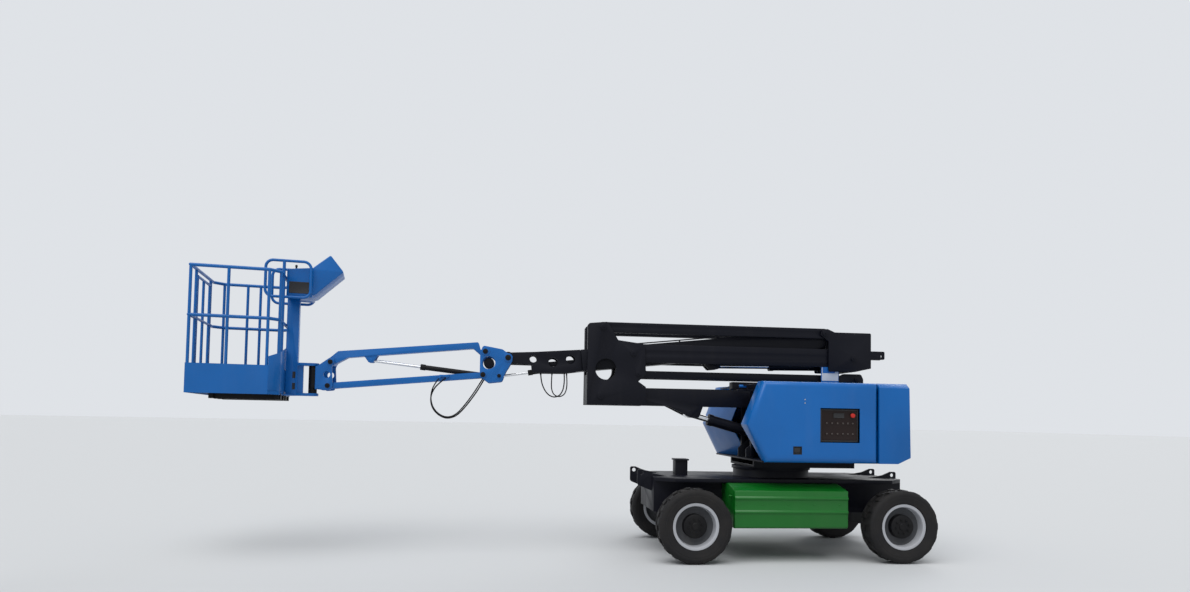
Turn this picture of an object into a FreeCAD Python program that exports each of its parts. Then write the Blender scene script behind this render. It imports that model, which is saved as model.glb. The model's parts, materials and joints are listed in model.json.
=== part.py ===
import FreeCAD, Part
import math
import os
from FreeCAD import Vector

# Articulating boom lift: wheeled chassis, slewing turntable, double parallelogram riser,
# telescopic main boom, parallelogram jib and a turning platform.
# Millimetres. While it is drawn, X points forwards, Y to the machine's left and Z up, and the
# origin is on the ground under the slewing axis. Before export everything moves back along X,
# so that the origin is under the middle of the whole machine.

os.makedirs("parts", exist_ok=True)


def moved(point, dx, dz):
    return (point[0] + dx, point[1] + dz)


# Clearances: a pin in its bore, measured on the radius, and one piece from another that it seats on
RUNNING = 0.05
SEAT_GAP = 0.3

# Wheels and axles
WHEELBASE = 2084
OVERALL_WIDTH = 1860
TYRE_R = 360
TYRE_W = 240
TREAD_DEPTH = 14
TREAD_LUGS = 17
RIM_SEAT_R = 203
RIM_FLANGE_R = 225
RIM_W = 196
RIM_WALL = 8
HUB_R = 112
SPINDLE_R = 42
KINGPIN_R = 20
FORK_T = 20
MOTOR_R = 98
AXLE_X = WHEELBASE / 2
AXLE_Z = TYRE_R
WHEEL_Y = (OVERALL_WIDTH - TYRE_W) / 2
SPINDLE_END_Y = WHEEL_Y + 70
KINGPIN_Y = WHEEL_Y - 210
FORK_Z = (AXLE_Z - 55, AXLE_Z + 57)

# Chassis, with the boxes that hang between its wheels
CHASSIS_BOTTOM = AXLE_Z + 80
CHASSIS_TOP = AXLE_Z + 430
CHASSIS_REAR = -AXLE_X - 242
CHASSIS_FRONT = AXLE_X + 314
CHASSIS_HALF_W = 380
DECK_HALF_W = 560
DECK_T = 36
PLATE_T = 14
DECK_CORNER = 180
TIE_REACH = 150
TIE_EARS_Y = (230, -250)
TIE_EAR_T = 20
TIE_HOLE_R = 20
TIE_HOLE_Z = CHASSIS_TOP + 32
REST_POST_X = AXLE_X - 42
REST_POST_H = 165
SIDE_BOX_REAR = -AXLE_X + TYRE_R + 185
SIDE_BOX_FRONT = AXLE_X - TYRE_R - 35
SIDE_BOX_Y = OVERALL_WIDTH / 2 - 80
SIDE_BOX_Z = (CHASSIS_TOP - 455, CHASSIS_TOP - DECK_T - 2)
SIDE_BOX_WALL = 8
SIDE_BOX_RIB = 12

# Slewing ring and turntable
SLEW_R = 400
SLEW_Z = CHASSIS_TOP + 78
BASE_Z = SLEW_Z + 32
BASE_X = (-760, 320)
BASE_HALF_W = 420
BASE_T = 25
FLOOR_Z = BASE_Z + 75
FLOOR_T = 15
FLOOR_TOP = FLOOR_Z + FLOOR_T
FLOOR_INSET = 60
RISER_PLATE_Y = (130, 150)
COVER_HALF_W = 900
COVER_BOTTOM = FLOOR_Z + 2
COVER_TOP = COVER_BOTTOM + 794
COVER_TOP_FRONT = 466
COVER_NOSE = (620, COVER_BOTTOM + 366)
COVER_LOW_FRONT = 387
COVER_WALL = 12
COVER_BEVEL = 62
COVER_INNER_Y = 205
SEAM_X = -788
SEAM_GAP = 10
TAIL_X = -1118
HINGE_Z = COVER_TOP - 25
RAIL_TOP = COVER_TOP - 59
RAIL_T = 18
HINGE_PIN_R = 6
HINGE_XS = (-700, -180, 340)
PANEL_X = (-592, -188)
PANEL_Z = (COVER_BOTTOM + 202, COVER_BOTTOM + 539)
LATCH_X = (-4, 86)
LATCH_Z = (COVER_BOTTOM + 81, COVER_BOTTOM + 161)

# Riser: two parallelograms, each with equal arms, one above the other
ARM_LENGTH = 2410
LOWER_ARM_R = 95
LOWER_LINK_R = 40
UPPER_ARM_R = 97
UPPER_LINK_R = 54
ARM_WALL = 9
SIDE_BEAM_WALL = 7
SIDE_INNER_Y = (108, 120)
SIDE_BEAM_Y = (127, 175)
SIDE_OUTER_Y = (182, 197)
RISER_PIN_R = 30
LINK_PIN_R = 20
STUB_PIN_R = 25
PIN_HEAD = 14
LIFT_EYE_R = 17
LOWER_ARM_PIN = (-510, FLOOR_Z + 640)
LOWER_LINK_PIN = moved(LOWER_ARM_PIN, -395, 235)
KNUCKLE_ARM_PIN = moved(LOWER_ARM_PIN, ARM_LENGTH, 0)
KNUCKLE_LINK_PIN = moved(LOWER_LINK_PIN, ARM_LENGTH, 0)
UPPER_ARM_PIN = moved(KNUCKLE_ARM_PIN, -340, 455)
UPPER_LINK_PIN = moved(UPPER_ARM_PIN, 320, 265)
UPRIGHT_ARM_PIN = moved(UPPER_ARM_PIN, -ARM_LENGTH, 0)
UPRIGHT_LINK_PIN = moved(UPPER_LINK_PIN, -ARM_LENGTH, 0)
TOWER_FOOT = moved(LOWER_ARM_PIN, 160, -510)
TOWER_LUG = moved(LOWER_ARM_PIN, 1434, -170)

# Main boom, drawn level along (s, h) from its pivot and then tilted
BOOM_TILT = -6.21
BOOM_H = 226
BOOM_W = 200
BOOM_WALL = 8
BOOM_OVERHANG = 315
BOOM_TUBE_START = 230
BOOM_PIN_R = 32
BOOM_SLOT_END = 800
BOOM_SLOT_HALF_W = 54
BOOM_FRONT = ARM_LENGTH + BOOM_OVERHANG
BOOM_LUG_Y = (45, 62)
FLY_H = 196
FLY_W = 168
FLY_WALL = 6
FLY_START = 350
HEAD_START = BOOM_FRONT + 7
HEAD_END = HEAD_START + 524
HEAD_PLATE_T = 12
HEAD_RISE = 18
TIP_H = 90
TIP_BOSS_R = 64
TIP_PIN_R = 28
LEVEL_PIN_R = 14
BOOM_PIVOT = moved(UPRIGHT_ARM_PIN, 230, 210)
BOOM_FOOT = moved(BOOM_PIVOT, 0, -295)


def on_boom(s, h):
    """The machine's (x, z) of a point along and across the tilted boom."""
    turn = math.radians(-BOOM_TILT)
    return moved(BOOM_PIVOT, s * math.cos(turn) + h * math.sin(turn),
                 h * math.cos(turn) - s * math.sin(turn))


BOOM_LUG_AT = (1307, -175)
BOOM_LUG = on_boom(*BOOM_LUG_AT)
LEVEL_FOOT_AT = (HEAD_START + 162, -62)
LEVEL_FOOT = on_boom(*LEVEL_FOOT_AT)
TIP_AT = (HEAD_END + 236, TIP_H)
TIP_PIVOT = on_boom(*TIP_AT)
HEAD_CORNER = on_boom(HEAD_START, -BOOM_H / 2)

# Jib: another parallelogram, between the bracket on the boom's tip and the head of the platform
JIB_REACH = 1558
JIB_FALL = 147
JIB_PIN_R = 22
JIB_ARM_HALF_W = 50
JIB_ARM_WALL = 6
JIB_LINK_R = 30
JIB_LINK_Y = (44, 66)
JIB_LUG_Y = (30, 44)
JIB_LUG_PIN_R = 12
BRACKET_Y = (105, 120)
BRACKET_HOLE_R = 67
HEAD_PLATE_Y = (80, 95)
HEAD_BACK_T = 16
LEVEL_EYE = moved(TIP_PIVOT, 90, -192)
JIB_ARM_PIN = moved(TIP_PIVOT, 235, 59)
JIB_LINK_PIN = moved(JIB_ARM_PIN, 21, -242)
HEAD_ARM_PIN = moved(JIB_ARM_PIN, JIB_REACH, -JIB_FALL)
HEAD_LINK_PIN = moved(JIB_LINK_PIN, JIB_REACH, -JIB_FALL)
JIB_LUG = moved(HEAD_ARM_PIN, -390, 31)
HEAD_BACK_X = HEAD_ARM_PIN[0] + 146

# Platform: u runs from the rotator forwards and v to the left, and then it is turned
ROTATOR_X = HEAD_BACK_X + 45
ROTATOR_R = 42
ROTATOR_HALF_W = 58
ROTATOR_Z = (HEAD_ARM_PIN[1] - 321, HEAD_ARM_PIN[1] - 42)
ROTATOR_SHAFT_R = 22
ROTATOR_SHAFT_END = 24
SUPPORT_ARM_T = 28
PLATFORM_YAW = 9.6
PLATFORM_Z = ROTATOR_Z[0] - 33
COLUMN_U = (145, 255)
COLUMN_HALF_W = 55
COLUMN_WALL = 8
COLUMN_TOP = PLATFORM_Z + 990
BASKET_U = (265, 1065)
BASKET_HALF_W = 560
BASKET_BEVEL = 92
SIDE_POST_US = (600, 726)
RAIL_R = 16
TOP_RAIL_Z = PLATFORM_Z + 1185
MID_RAIL_Z = PLATFORM_Z + 720
TOE_Z = (PLATFORM_Z, PLATFORM_Z + 275)
TOE_T = 5
FLOOR_PLATE_Z = PLATFORM_Z + 16
FLOOR_PLATE_T = 6
FLOOR_BEAM_VS = (-330, -90, 90, 330)
FLOOR_BEAM_H = 61
FLOOR_BEAM_HALF_W = 25
NOTCH_GAP = 1.5
GATE_V = (-300, 300)
GATE_HINGE_V = 288
GATE_HINGE_ZS = (PLATFORM_Z + 150, PLATFORM_Z + 950)
GUARD_V = 250
GUARD_U = (30, 450)
GUARD_Z = (PLATFORM_Z + 975, PLATFORM_Z + 1335)
GUARD_BEND = 70
CONSOLE_HALF_W = 200
CONSOLE_WALL = 4

# Cylinders by name: foot pin, eye pin, barrel radius, rod radius, barrel length, half width of the
# foot, bore of the foot, start of the rod, radius, half width and bore of its eye.
# A bore of 0 is an eye that stays solid round the pin's axis.
CYLINDERS = {
    "tower": (TOWER_FOOT, TOWER_LUG, 58, 32, 1080, 60, RISER_PIN_R, 200, 44, 56, 0),
    "boom": (BOOM_FOOT, BOOM_LUG, 42, 25, 640, 50, STUB_PIN_R, 200, 36, 36, 0),
    "level": (LEVEL_FOOT, LEVEL_EYE, 24, 13, 395, 32, LEVEL_PIN_R, 320, 22, 22, 0),
    "jib": (JIB_LINK_PIN, JIB_LUG, 26, 15, 642, 28, 0, 245, 22, 26, JIB_LUG_PIN_R),
}

# Hoses by name: radius, y of the plane they hang in, the point they are measured from, and their
# (dx, dz) points. The jib's two ride on its link, the head's two on the telescopic boom.
HOSES = {
    "jib_hose_long": (7, 77, JIB_LINK_PIN,
                      [(378, -41), (443, -90), (507, -164), (534, -261), (508, -362), (435, -435),
                       (349, -462), (257, -429), (171, -333), (89, -220), (30, -126), (-13, -45)]),
    "jib_hose_short": (6.5, 91.2, JIB_LINK_PIN,
                       [(449, -47), (491, -105), (521, -179), (528, -264), (500, -357), (428, -427),
                        (345, -449), (263, -416), (183, -323), (104, -212), (43, -113), (4, -45)]),
    "head_hose_long": (6.5, 44.5, HEAD_CORNER,
                       [(433, -48), (427, -110), (408, -170), (379, -224), (336, -266), (281, -282),
                        (229, -260), (198, -210), (186, -148), (183, -85), (186, -34)]),
    "head_hose_short": (6, 58, HEAD_CORNER,
                        [(317, -48), (319, -94), (320, -146), (317, -200), (294, -255), (239, -278),
                         (184, -255), (161, -200), (156, -148), (157, -96), (161, -48)]),
}
FERRULE_WALL = 2
FERRULE_LENGTH = 36
JIB_CLAMP_Y = (64, 98)
HEAD_CLAMP_Y = (38, 90)


# Shapes in the machine's own directions

def xz(point, y=0):
    return Vector(point[0], y, point[1])


def around(point, outline):
    """Turns (dx, dz) or (dx, dz, corner radius) rows into an outline placed from a pin."""
    return [moved(point, row[0], row[1]) + tuple(row[2:]) for row in outline]


def corner_arc(before, corner, after, radius):
    """The two tangent points and the middle of the arc that rounds one corner."""
    to_before = (before - corner).normalize()
    to_after = (after - corner).normalize()
    half = to_before.getAngle(to_after) / 2
    reach = radius / math.tan(half)
    bisector = (to_before + to_after).normalize()
    centre = corner + bisector * (radius / math.sin(half))
    return corner + to_before * reach, centre - bisector * radius, corner + to_after * reach


def rounded_face(points, y=0):
    """A face in the XZ plane from (x, z) or (x, z, corner radius) points."""
    corners = [Vector(p[0], y, p[1]) for p in points]
    radii = [p[2] if len(p) > 2 else 0 for p in points]
    arcs = {}
    starts = []
    ends = []
    for i, corner in enumerate(corners):
        first, last = corner, corner
        if radii[i]:
            following = corners[(i + 1) % len(corners)]
            first, middle, last = corner_arc(Vector(corners[i - 1]), Vector(corner), Vector(following), radii[i])
            arcs[i] = Part.Arc(first, middle, last).toShape()
        starts.append(first)
        ends.append(last)
    path = []
    for i in range(len(corners)):
        if i in arcs:
            path.append(arcs[i])
        following = starts[(i + 1) % len(corners)]
        if (following - ends[i]).Length > 1e-6:
            path.append(Part.LineSegment(ends[i], following).toShape())
    return Part.Face(Part.Wire(path))


def slab(points, y_low, y_high):
    """An XZ outline made a plate from y_low to y_high."""
    return rounded_face(points, y_low).extrude(Vector(0, y_high - y_low, 0))


def section(points, x_low, x_high):
    """A (y, z) outline pushed along X."""
    wire = Part.makePolygon([Vector(x_low, y, z) for y, z in points + points[:1]])
    return Part.Face(wire).extrude(Vector(x_high - x_low, 0, 0))


def plan(points, z_low, z_high):
    """An (x, y) outline pushed up."""
    wire = Part.makePolygon([Vector(x, y, z_low) for x, y in points + points[:1]])
    return Part.Face(wire).extrude(Vector(0, 0, z_high - z_low))


def block(x, y, z):
    """A box from three (low, high) pairs."""
    return Part.makeBox(x[1] - x[0], y[1] - y[0], z[1] - z[0], Vector(x[0], y[0], z[0]))


def side_range(s, low, high):
    """The (low, high) pair in y of something between two distances out, on side s."""
    return sorted((s * low, s * high))


def bar_x(point, radius, x_low, x_high):
    return Part.makeCylinder(radius, x_high - x_low, Vector(x_low, point[0], point[1]), Vector(1, 0, 0))


def bar_y(point, radius, y_low, y_high):
    return Part.makeCylinder(radius, y_high - y_low, xz(point, y_low), Vector(0, 1, 0))


def bar_z(point, radius, z_low, z_high):
    return Part.makeCylinder(radius, z_high - z_low, Vector(point[0], point[1], z_low))


def rod_between(start, end, radius):
    return Part.makeCylinder(radius, (end - start).Length, start, end - start)


def link_outline(a, radius_a, b, radius_b, y_low, y_high):
    """A link plate with round ends, its edges tangent to both."""
    along = Vector(b[0] - a[0], 0, b[1] - a[1])
    length = along.Length
    unit = Vector(along).normalize()
    side = Vector(-unit.z, 0, unit.x)
    lean = (radius_a - radius_b) / length
    rise = math.sqrt(1 - lean * lean)
    centre_a = xz(a, y_low)
    centre_b = xz(b, y_low)
    up = unit * lean + side * rise
    down = unit * lean - side * rise
    path = [Part.Arc(centre_a + up * radius_a, centre_a - unit * radius_a,
                     centre_a + down * radius_a).toShape(),
            Part.LineSegment(centre_a + down * radius_a, centre_b + down * radius_b).toShape(),
            Part.Arc(centre_b + down * radius_b, centre_b + unit * radius_b,
                     centre_b + up * radius_b).toShape(),
            Part.LineSegment(centre_b + up * radius_b, centre_a + up * radius_a).toShape()]
    return Part.Face(Part.Wire(path)).extrude(Vector(0, y_high - y_low, 0))


def mirrored(shape):
    return shape.mirror(Vector(0, 0, 0), Vector(0, 1, 0))


def joined(*shapes):
    first, *rest = shapes
    return first.fuse(list(rest)).removeSplitter() if rest else first


def pair(shape):
    """The shape on the left and its mirror image on the right."""
    return [shape, mirrored(shape)]


def plates(points, y_range):
    return pair(slab(points, *y_range))


def drilled(shape, holes):
    """Cuts round holes right through along Y: each hole is (point, radius)."""
    reach = OVERALL_WIDTH
    return shape.cut([bar_y(point, radius, -reach, reach) for point, radius in holes])


def inset(points, depth):
    """A convex outline moved inwards by depth, for the inside of a shell."""
    count = len(points)
    middle_x = sum(p[0] for p in points) / count
    middle_z = sum(p[1] for p in points) / count
    lines = []
    for i in range(count):
        ax, az = points[i][0], points[i][1]
        bx, bz = points[(i + 1) % count][0], points[(i + 1) % count][1]
        length = math.hypot(bx - ax, bz - az)
        nx, nz = (bz - az) / length, (ax - bx) / length
        if nx * (middle_x - ax) + nz * (middle_z - az) < 0:
            nx, nz = -nx, -nz
        lines.append((nx, nz, nx * ax + nz * az + depth))
    result = []
    for i in range(count):
        n1, n2 = lines[i - 1], lines[i]
        det = n1[0] * n2[1] - n1[1] * n2[0]
        result.append(((n1[2] * n2[1] - n2[2] * n1[1]) / det, (n1[0] * n2[2] - n2[0] * n1[2]) / det))
    return result


# Chassis and axles

def tie_down_ears(end_x, outward):
    """Two ears beyond one end of the frame, drilled for a shackle."""
    reach = end_x + outward * TIE_REACH
    root = end_x - outward * DECK_CORNER
    top = CHASSIS_TOP + 68
    points = [(root, CHASSIS_TOP - 2), (end_x, CHASSIS_TOP + 30), (reach - outward * 60, top, 20),
              (reach, top, 20), (reach, CHASSIS_TOP - 90, 30), (end_x, CHASSIS_TOP - 150),
              (root, CHASSIS_TOP - 150)]
    outline = points if outward > 0 else points[::-1]
    ears = [slab(outline, y, y + TIE_EAR_T) for y in TIE_EARS_Y]
    return [drilled(ear, [((reach - outward * 42, TIE_HOLE_Z), TIE_HOLE_R)]) for ear in ears]


def chassis_frame():
    deck_bottom = CHASSIS_TOP - DECK_T
    outer = block((CHASSIS_REAR, CHASSIS_FRONT), (-CHASSIS_HALF_W, CHASSIS_HALF_W),
                  (CHASSIS_BOTTOM, deck_bottom))
    inner = block((CHASSIS_REAR + PLATE_T, CHASSIS_FRONT - PLATE_T),
                  (-CHASSIS_HALF_W + PLATE_T, CHASSIS_HALF_W - PLATE_T),
                  (CHASSIS_BOTTOM + PLATE_T, deck_bottom + 1))
    deck = plan([(CHASSIS_REAR, -CHASSIS_HALF_W), (CHASSIS_REAR + DECK_CORNER, -DECK_HALF_W),
                 (CHASSIS_FRONT - DECK_CORNER, -DECK_HALF_W), (CHASSIS_FRONT, -CHASSIS_HALF_W),
                 (CHASSIS_FRONT, CHASSIS_HALF_W), (CHASSIS_FRONT - DECK_CORNER, DECK_HALF_W),
                 (CHASSIS_REAR + DECK_CORNER, DECK_HALF_W), (CHASSIS_REAR, CHASSIS_HALF_W)],
                deck_bottom, CHASSIS_TOP)
    slew_seat = bar_z((0, 0), SLEW_R, CHASSIS_TOP, SLEW_Z)
    post_top = CHASSIS_TOP + REST_POST_H
    post = block((REST_POST_X - 65, REST_POST_X + 65), (-70, 70), (CHASSIS_TOP, post_top))
    post_cap = block((REST_POST_X - 75, REST_POST_X + 75), (-90, 90), (post_top - 10, post_top + 7))
    return joined(outer.cut(inner), deck, slew_seat, post, post_cap, *drive_axle(), *steer_axle(),
                  *tie_down_ears(CHASSIS_FRONT, 1), *tie_down_ears(CHASSIS_REAR + 130, -1))


def drive_axle():
    """The front axle: a box beam with a wheel motor and spindle at each end."""
    beam = block((AXLE_X - 75, AXLE_X + 75), (-KINGPIN_Y, KINGPIN_Y), (AXLE_Z - 60, CHASSIS_BOTTOM + 2))
    left = [bar_y((AXLE_X, AXLE_Z), MOTOR_R, KINGPIN_Y - 10, KINGPIN_Y + 80),
            bar_y((AXLE_X, AXLE_Z), SPINDLE_R, KINGPIN_Y + 70, SPINDLE_END_Y)]
    return [beam] + left + [mirrored(shape) for shape in left]


def steer_axle():
    """The rear axle beam with a forked end and a kingpin on each side."""
    x = -AXLE_X
    low, high = FORK_Z[0] - FORK_T, FORK_Z[1] + FORK_T
    beam = block((x - 65, x + 65), (-KINGPIN_Y + 90, KINGPIN_Y - 90), (low, CHASSIS_BOTTOM + 2))
    parts = [beam]
    for s in (-1, 1):
        for z in (low, FORK_Z[1]):
            parts.append(bar_z((x, s * KINGPIN_Y), 48, z, z + FORK_T))
            parts.append(block((x - 48, x + 48), side_range(s, KINGPIN_Y - 95, KINGPIN_Y), (z, z + FORK_T)))
        parts.append(bar_z((x, s * KINGPIN_Y), KINGPIN_R, low, high))
    return parts


def steer_knuckle():
    """The left swivelling stub axle between the fork's ears, with its steering arm."""
    x = -AXLE_X
    low, high = FORK_Z[0] + SEAT_GAP, FORK_Z[1] - SEAT_GAP
    swivel = bar_z((x, KINGPIN_Y), 46, low, high)
    flange = bar_y((x, AXLE_Z), 54, KINGPIN_Y + 20, KINGPIN_Y + 66)
    spindle = bar_y((x, AXLE_Z), SPINDLE_R, KINGPIN_Y + 30, SPINDLE_END_Y)
    arm = block((x - 150, x), (KINGPIN_Y - 22, KINGPIN_Y + 22), (AXLE_Z - 12, AXLE_Z + 12))
    bore = bar_z((x, KINGPIN_Y), KINGPIN_R + RUNNING, low - 1, high + 1)
    return joined(swivel, flange, spindle, arm).cut(bore)


def side_box():
    """The left ribbed box between the wheels, its top edge sloped."""
    low, high = SIDE_BOX_Z
    depth = SIDE_BOX_Y
    wall = SIDE_BOX_WALL
    points = [(CHASSIS_HALF_W, high - 8), (DECK_HALF_W + 40, high), (depth, high - 52)]
    for z in (high - 128, high - 262):
        points += [(depth, z + 22), (depth + SIDE_BOX_RIB, z + 12), (depth + SIDE_BOX_RIB, z - 4), (depth, z - 14)]
    points += [(depth, low + 16), (depth - 18, low), (CHASSIS_HALF_W, low)]
    outer = section(points, SIDE_BOX_REAR, SIDE_BOX_FRONT)
    inner = section([(CHASSIS_HALF_W + wall, low + wall), (depth - wall, low + 22), (depth - wall, high - 62),
                     (DECK_HALF_W + 36, high - 14), (CHASSIS_HALF_W + wall, high - 20)],
                    SIDE_BOX_REAR + wall, SIDE_BOX_FRONT - wall)
    return outer.cut(inner)


# Wheels, drawn about their own axle with the outer side towards +Y

def revolved(profile):
    """A (radius, y) outline turned about the Y axis."""
    wire = Part.makePolygon([Vector(r, y, 0) for r, y in profile + profile[:1]])
    return Part.Face(wire).revolve(Vector(0, 0, 0), Vector(0, 1, 0), 360)


def both_sides(half_profile):
    """A (radius, y) outline continued as its own mirror image."""
    return half_profile + [(r, -y) for r, y in reversed(half_profile)]


def tyre():
    """The carcass with slanted lugs that run from near its middle over the shoulder."""
    half = TYRE_W / 2
    bead = RIM_W / 2 - 15
    lip = RIM_FLANGE_R + 2 * SEAT_GAP
    base = TYRE_R - TREAD_DEPTH
    carcass = revolved(both_sides([(RIM_SEAT_R + SEAT_GAP, bead), (lip, bead + 10), (lip + 8, bead + 26),
                                   (TYRE_R - 70, half), (base - 20, half - 4), (base - 6, half - 22),
                                   (base, half - 46)]))
    band = revolved([(base - 26, 8), (base - 26, half - 10), (base - 22, half - 1), (TYRE_R - 10, half - 14),
                     (TYRE_R, half - 38), (TYRE_R, 8)])
    pitch = 360 / TREAD_LUGS
    bar = plan([(-24, 0), (-56, half), (8, half), (22, 0)], base - 30, TYRE_R + 5)
    lug = band.common(bar)
    lugs = []
    for i in range(TREAD_LUGS):
        for shape, turn in ((lug, i * pitch), (mirrored(lug), (i + 0.5) * pitch)):
            placed = shape.copy()
            placed.rotate(Vector(0, 0, 0), Vector(0, 1, 0), turn)
            lugs.append(placed)
    return joined(carcass, *lugs)


def rim():
    """Rim, dish and hub in one, the dish set in from the outer face."""
    half = RIM_W / 2
    lip = RIM_FLANGE_R
    bed = RIM_SEAT_R
    inside = bed - RIM_WALL
    bore = SPINDLE_R + RUNNING
    return revolved([(bore, -60), (HUB_R, -60), (HUB_R, -20), (140, -12), (inside, -12), (inside, -half),
                     (lip, -half - 4), (lip, -half + 4), (bed, -half + 14), (bed, half - 14), (lip, half - 4),
                     (lip, half + 4), (inside + 2, half), (inside - 6, 20), (150, 4), (HUB_R, 10),
                     (HUB_R, 62), (HUB_R - 16, 74), (bore, 74)])


def at_wheel(shape, x):
    placed = shape.copy()
    placed.translate(Vector(x, WHEEL_Y, AXLE_Z))
    return placed


# Turntable

def turntable_frame():
    ring = bar_z((0, 0), SLEW_R + 15, SLEW_Z + SEAT_GAP, BASE_Z)
    base = block(BASE_X, (-BASE_HALF_W, BASE_HALF_W), (BASE_Z, BASE_Z + BASE_T))
    stringers = pair(block(BASE_X, (BASE_HALF_W - 40, BASE_HALF_W), (BASE_Z + BASE_T, FLOOR_Z)))
    floor_half_w = COVER_HALF_W - FLOOR_INSET
    floor = block((TAIL_X + 140, BASE_X[1] + 55), (-floor_half_w, floor_half_w), (FLOOR_Z, FLOOR_TOP))
    front = BASE_X[1]
    rear = LOWER_LINK_PIN[0] - 80
    top = LOWER_LINK_PIN[1] + 55
    side = [(rear, FLOOR_Z), (front, FLOOR_Z), (front, FLOOR_Z + 105),
            moved(LOWER_ARM_PIN, 130, 85) + (60,), (LOWER_LINK_PIN[0] + 145, top, 40),
            (LOWER_LINK_PIN[0] - 55, top, 30), (rear, LOWER_LINK_PIN[1])]
    uprights = plates(side, RISER_PLATE_Y)
    mid_web = block((TOWER_FOOT[0] - 120, TOWER_FOOT[0] - 90), (-RISER_PLATE_Y[0], RISER_PLATE_Y[0]),
                    (FLOOR_TOP, TOWER_FOOT[1] + 295))
    reach = RISER_PLATE_Y[1] + PIN_HEAD
    pins = [bar_y(LOWER_ARM_PIN, RISER_PIN_R, -reach, reach),
            bar_y(LOWER_LINK_PIN, LINK_PIN_R, -reach, reach),
            bar_y(TOWER_FOOT, RISER_PIN_R, -reach, reach)]
    return joined(ring, base, *stringers, floor, *uprights, mid_web, *pins,
                  *cover_rail(), *[mirrored(shape) for shape in cover_rail()])


def cover_rail():
    """The left rail that the cover hinges on: rail, two posts, lugs and hinge pins."""
    inner = RISER_PLATE_Y[1] + 18
    parts = [block((SEAM_X + 20, COVER_TOP_FRONT - 30), (inner, COVER_INNER_Y + 9), (RAIL_TOP - RAIL_T, RAIL_TOP))]
    for x, z in ((-600, LOWER_ARM_PIN[1] - 15), (BASE_X[1] - 60, FLOOR_TOP - 2)):
        parts.append(block((x - 20, x + 20), (RISER_PLATE_Y[1] - 2, inner + 22), (z, RAIL_TOP - 2)))
    for x in HINGE_XS:
        parts.append(block((x - 12, x), (COVER_INNER_Y - 8, COVER_INNER_Y + 8), (RAIL_TOP - 2, HINGE_Z + 5)))
        parts.append(bar_x((COVER_INNER_Y, HINGE_Z), HINGE_PIN_R, x - 6, x + 84))
    return parts


def cover_outline():
    rear = SEAM_X + SEAM_GAP / 2
    return [(COVER_TOP_FRONT, COVER_TOP), COVER_NOSE, (COVER_LOW_FRONT, COVER_BOTTOM),
            (rear, COVER_BOTTOM), (rear, COVER_TOP)]


def edge_cutter(x_low, x_high, deeper=0.0):
    """What takes the long top edge off the left side of a cover, or of the room inside it."""
    return section([(COVER_HALF_W - COVER_BEVEL - deeper, COVER_TOP + 1), (COVER_HALF_W + 1, COVER_TOP + 1),
                    (COVER_HALF_W + 1, COVER_TOP - COVER_BEVEL * 0.75 - deeper)], x_low, x_high)


def hood():
    """The left side cover: top, nose and side in one shell, open below and towards the riser."""
    outline = cover_outline()
    x_range = (SEAM_X - 1, COVER_NOSE[0] + 1)
    skin = slab(outline, COVER_INNER_Y, COVER_HALF_W).cut(edge_cutter(*x_range))
    room = inset(outline, COVER_WALL)
    room = [(x, COVER_BOTTOM - 5) if z < COVER_BOTTOM + COVER_WALL + 1 else (x, z) for x, z in room]
    room = [(SEAM_X - 5, z) if x < SEAM_X + 30 else (x, z) for x, z in room]
    hollow = slab(room, COVER_INNER_Y - 1, COVER_HALF_W - COVER_WALL).cut(edge_cutter(*x_range, COVER_WALL))
    pocket = block((LATCH_X[0] - 9, LATCH_X[1] + 8), (COVER_HALF_W - 30, COVER_HALF_W - COVER_WALL),
                   (LATCH_Z[0] - 8, LATCH_Z[1] + 8))
    recess = block(LATCH_X, (COVER_HALF_W - 24, COVER_HALF_W + 5), LATCH_Z)
    axis = (COVER_INNER_Y, HINGE_Z)
    hinges = [bar_x(axis, 15, x + SEAT_GAP, x + 80) for x in HINGE_XS]
    bores = [bar_x(axis, HINGE_PIN_R + RUNNING, x - 1, x + 90) for x in HINGE_XS]
    return joined(skin.cut(hollow), pocket, *hinges).cut([recess] + bores)


def panel_window():
    return block(PANEL_X, (COVER_HALF_W - 40, COVER_HALF_W + 5), PANEL_Z)


def counterweight():
    """The tail casting, with a slot for the riser's side plates and a pocket in its upper half."""
    front = SEAM_X - SEAM_GAP / 2
    body = slab([(front, COVER_BOTTOM), (front, COVER_TOP), (TAIL_X + 13, COVER_TOP),
                 (TAIL_X, COVER_BOTTOM + 61), (TAIL_X + 129, COVER_BOTTOM)], -COVER_HALF_W, COVER_HALF_W)
    edges = pair(edge_cutter(TAIL_X - 1, SEAM_X))
    slot_half_w = RISER_PLATE_Y[1] + 25
    slot = block((LOWER_LINK_PIN[0] - 105, SEAM_X), (-slot_half_w, slot_half_w),
                 (COVER_BOTTOM - 1, COVER_TOP + 1))
    notch_half_w = COVER_HALF_W - FLOOR_INSET + 10
    floor_notch = block((TAIL_X + 130, SEAM_X), (-notch_half_w, notch_half_w), (COVER_BOTTOM - 5, FLOOR_TOP))
    pockets = pair(block((TAIL_X + 60, SEAM_X), (slot_half_w + 40, COVER_HALF_W - 40),
                         (COVER_BOTTOM + 323, COVER_TOP - 70)))
    return body.cut(edges + [slot, floor_notch] + pockets)


def ground_control():
    """The lower control box on its stand, seen through the left hood's window."""
    clear = 8
    border = 22
    face_y = COVER_HALF_W - 22
    low_x, high_x = PANEL_X
    low_z, high_z = PANEL_Z
    case = block((low_x + clear, high_x - clear), (face_y - 98, face_y), (low_z + clear, high_z - clear))
    recess = block((low_x + border, high_x - border), (face_y - 6, face_y + 2), (low_z + border, high_z - border))
    stand = block((low_x + 162, high_x - 162), (face_y - 83, face_y - 23), (FLOOR_TOP, low_z + clear))
    button = bar_y((low_x + 70, high_z - 70), 20, face_y - 8, COVER_HALF_W + 2)
    return joined(case.cut(recess), stand, button)


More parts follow.
